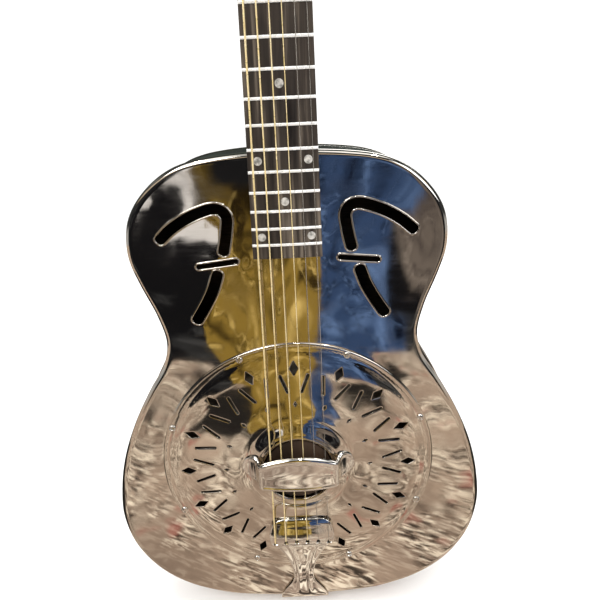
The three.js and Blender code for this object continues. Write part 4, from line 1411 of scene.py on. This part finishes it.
def build_room():
    """A dome: dark with a warm band in front, green-grey behind, pale at the sides' foot and top,
    white overhead in front, with dark gaps."""
    s = Glow("studio_room")
    x, y, z = s.axes()
    height = s.between(z, 0, 1, 0, DOME_RADIUS)
    front = s.ramp(
        height, (0.46, (0.02, 0.02, 0.021)), (0.51, (0.95, 0.76, 0.56)), (0.59, (0.95, 0.78, 0.6)),
        (0.63, DARK), (0.84, DARK), (0.90, (1.6, 1.58, 1.54)),
    )
    behind = s.ramp(
        height, (0.0, DARK), (0.2, (0.05, 0.06, 0.052)), (0.5, (0.12, 0.135, 0.12)), (1.0, (0.05, 0.06, 0.05))
    )
    flank = s.ramp(
        height, (0.10, (0.62, 0.61, 0.59)), (0.20, (0.05, 0.05, 0.05)), (0.6, DARK), (0.7, (0.7, 0.69, 0.66))
    )
    whole = s.over(front, behind, s.between(y, 0, 1, -0.3, 0.2))
    whole = s.over(whole, flank, s.between(s.math("ABSOLUTE", x), 0, 0.8, 1.5, 2.4))
    gaps = s.times(s.between(s.noise(1.1, 2), 1, 0, 0.40, 0.47), s.between(z, 0, 1, 0.2, 0.9))
    s.colour(s.over(whole, DARK, gaps))
    stage_piece("studio_room", *dome(), s.material)


def build_ground():
    """The mottled, streaky ground that the metal mirrors, with dark patches of painted shadow and of dark
    things.
    """
    s = Glow("studio_ground")
    mottled = s.ramp(
        s.noise(7, 4, distortion=0.8), (0.32, (0.34, 0.245, 0.185)), (0.5, (0.49, 0.36, 0.27)),
        (0.66, (0.64, 0.48, 0.36)),
    )
    lines = s.noise(260, 3, distortion=0.7, place=s.scaled((6, 1, 1), "TEXTURE", math.radians(27)))
    groups = s.between(s.noise(10, 3, distortion=0.5), 0.15, 1, 0.43, 0.53)
    light, dark = s.between(lines, 0, 1, 0.51, 0.60), s.between(lines, 0.95, 0, 0.40, 0.49)
    colour = s.over(mottled, (1.25, 1.08, 0.86), s.times(light, groups))
    colour = s.over(colour, (0.05, 0.038, 0.03), s.times(dark, groups))
    colour = s.over(colour, (0.50, 0.15, 0.12), s.between(s.noise(16, 2), 0, 0.6, 0.62, 0.70))
    place = s.swayed((14, 11), 0.03, up=1)
    # Lay the painted shadow patches on the ground.
    for box in GROUND_SHADES:
        colour = s.over(colour, (0.016, 0.015, 0.014), s.times(s.patch(place, box, 0.012), 0.985))
    s.colour(colour)
    stage_disc("studio_ground", 2.4, 48, 0.0008, s.material)


def build_wall():
    """The far card: faint grey, pale patches on the left, blue and taupe cloth on the right."""
    s = Glow("studio_wall")
    place = s.swayed()
    x, z = place
    faint = s.noise(9, 7, (0.5, 1, 2.6), 0.6)
    colour = s.ramp(faint, (0.52, (0.008, 0.008, 0.009)), (0.72, (0.10, 0.10, 0.10)))
    for box in PALE_PATCHES:
        colour = s.over(colour, (0.92, 0.88, 0.86), s.patch(place, box, 0.003))
    blue = s.patch(place, (0.02, 0.198, 0.00, 0.6), 0.006, 0.01)
    for box in BLUE_SPREADS:
        blue = s.math("MAXIMUM", blue, s.patch(place, box, 0.006, 0.015))
    leaning = s.math("SUBTRACT", x, s.between(z, 0.057, 0, 0.10, 0.285))
    taupe = s.patch((leaning, z), (0.205, 0.34, 0.09, 0.6), 0.005, 0.01)
    colour = s.over(colour, s.folds(TAUPE, 8, (1.5, 1, 0.7)), taupe)
    s.colour(s.over(colour, s.folds(BLUE, 9, (1.2, 1, 1.0)), blue))
    stage_card("studio_wall", [(-0.9, 0.004), (0.9, 0.004), (0.9, 0.56), (-0.9, 0.56)], -0.62, s.material)


def build_near_cards():
    """The cards in front of it: ochre cloth that darkens upwards, and a strip of blue."""
    s = Glow("studio_near")
    place = s.swayed()
    cloth = s.folds(OCHRE, 11, (1.5, 1, 0.55))
    cloth = s.over(cloth, s.between(place[1], 1.0, 0.34, 0.28, 0.42), 1.0, blend="MULTIPLY")
    dusk = s.patch(place, (-0.115, 0.05, 0.40, 0.6), 0.012, 0.008)
    s.colour(s.over(cloth, (0.012, 0.012, 0.013), dusk))
    stage_card("studio_near", OCHRE_CARD, -0.36, s.material)
    s = Glow("studio_near_blue")
    s.colour(s.folds(BLUE, 16, (1.2, 1, 0.8)))
    stage_card("studio_near_blue", BLUE_CARD, -0.40, s.material)


def area_light(name, place, target, size, power, colour):
    data = bpy.data.lights.new(name, "AREA")
    data.shape = "RECTANGLE"
    data.size, data.size_y = size
    data.energy = power
    data.color = colour
    lamp = bpy.data.objects.new(name, data)
    lamp.location = place
    lamp.rotation_mode = "QUATERNION"
    lamp.rotation_quaternion = (Vector(target) - Vector(place)).to_track_quat("-Z", "Y")
    bpy.context.scene.collection.objects.link(lamp)
    return lamp


LIGHTS = {
    "key": ((-0.9, -1.3, 1.9), (1.0, 0.7), 16, (1, 0.98, 0.95)),
    "fill": ((1.3, -1.0, 1.2), (0.8, 1.0), 7, (0.95, 0.97, 1)),
    "top": ((0.1, 0.2, 2.2), (0.5, 0.5), 10, (1, 1, 1)),
    "back": ((0.6, 1.7, 1.4), (1.2, 0.9), 10, (1, 1, 1)),
}
SPOT_PLACES = ((-0.55, -0.35), (0.05, -0.55), (0.6, -0.25))
SPOT_HEIGHT, SPOT_SIZE, SPOT_POWER, SPOT_COLOUR = 1.75, (0.09, 0.09), 1.6, (1, 0.97, 0.9)


def build_lights():
    world = bpy.data.worlds.new("pale_studio")
    world.use_nodes = True
    set_inputs(world.node_tree.nodes["Background"], Color=(1.0, 0.995, 0.985, 1), Strength=1.25)
    bpy.context.scene.world = world
    for name, (place, size, power, colour) in LIGHTS.items():
        lamp = area_light(name, place, (0, 0, 0.4), size, power, colour)
        lamp.visible_glossy = name != "top"
    for i, (x, y) in enumerate(SPOT_PLACES):
        place, target = (x, y, SPOT_HEIGHT), (x * 0.4, 0, 0.3)
        area_light(f"spot_{i + 1}", place, target, SPOT_SIZE, SPOT_POWER, SPOT_COLOUR)


CAMERA_LENS = 30.154
CAMERA_FROM_COVER = (0.006986, -0.395227, 0.312641)
CAMERA_RIGHT = (0.9990016, -0.0181958, -0.0408007)
CAMERA_UP = (0.0445801, 0.3467719, 0.9368895)
CAMERA_BACK = (-0.0028989, -0.9377730, 0.3472368)


def build_camera():
    data = bpy.data.cameras.new("camera")
    data.lens = CAMERA_LENS
    data.sensor_width = 36
    data.clip_start, data.clip_end = 0.01, 60
    camera = bpy.data.objects.new("camera", data)
    turn = Matrix((CAMERA_RIGHT, CAMERA_UP, CAMERA_BACK)).transposed()
    camera.rotation_mode = "QUATERNION"
    camera.rotation_quaternion = turn.to_quaternion()
    camera.location = np.array([CENTRE_X, FRONT_Y, CENTRE_Z]) + CAMERA_FROM_COVER
    bpy.context.scene.collection.objects.link(camera)
    bpy.context.scene.camera = camera


build_floor()
build_room()
build_ground()
build_wall()
build_near_cards()
build_lights()
build_camera()
bpy.context.scene.view_settings.view_transform = "Standard"
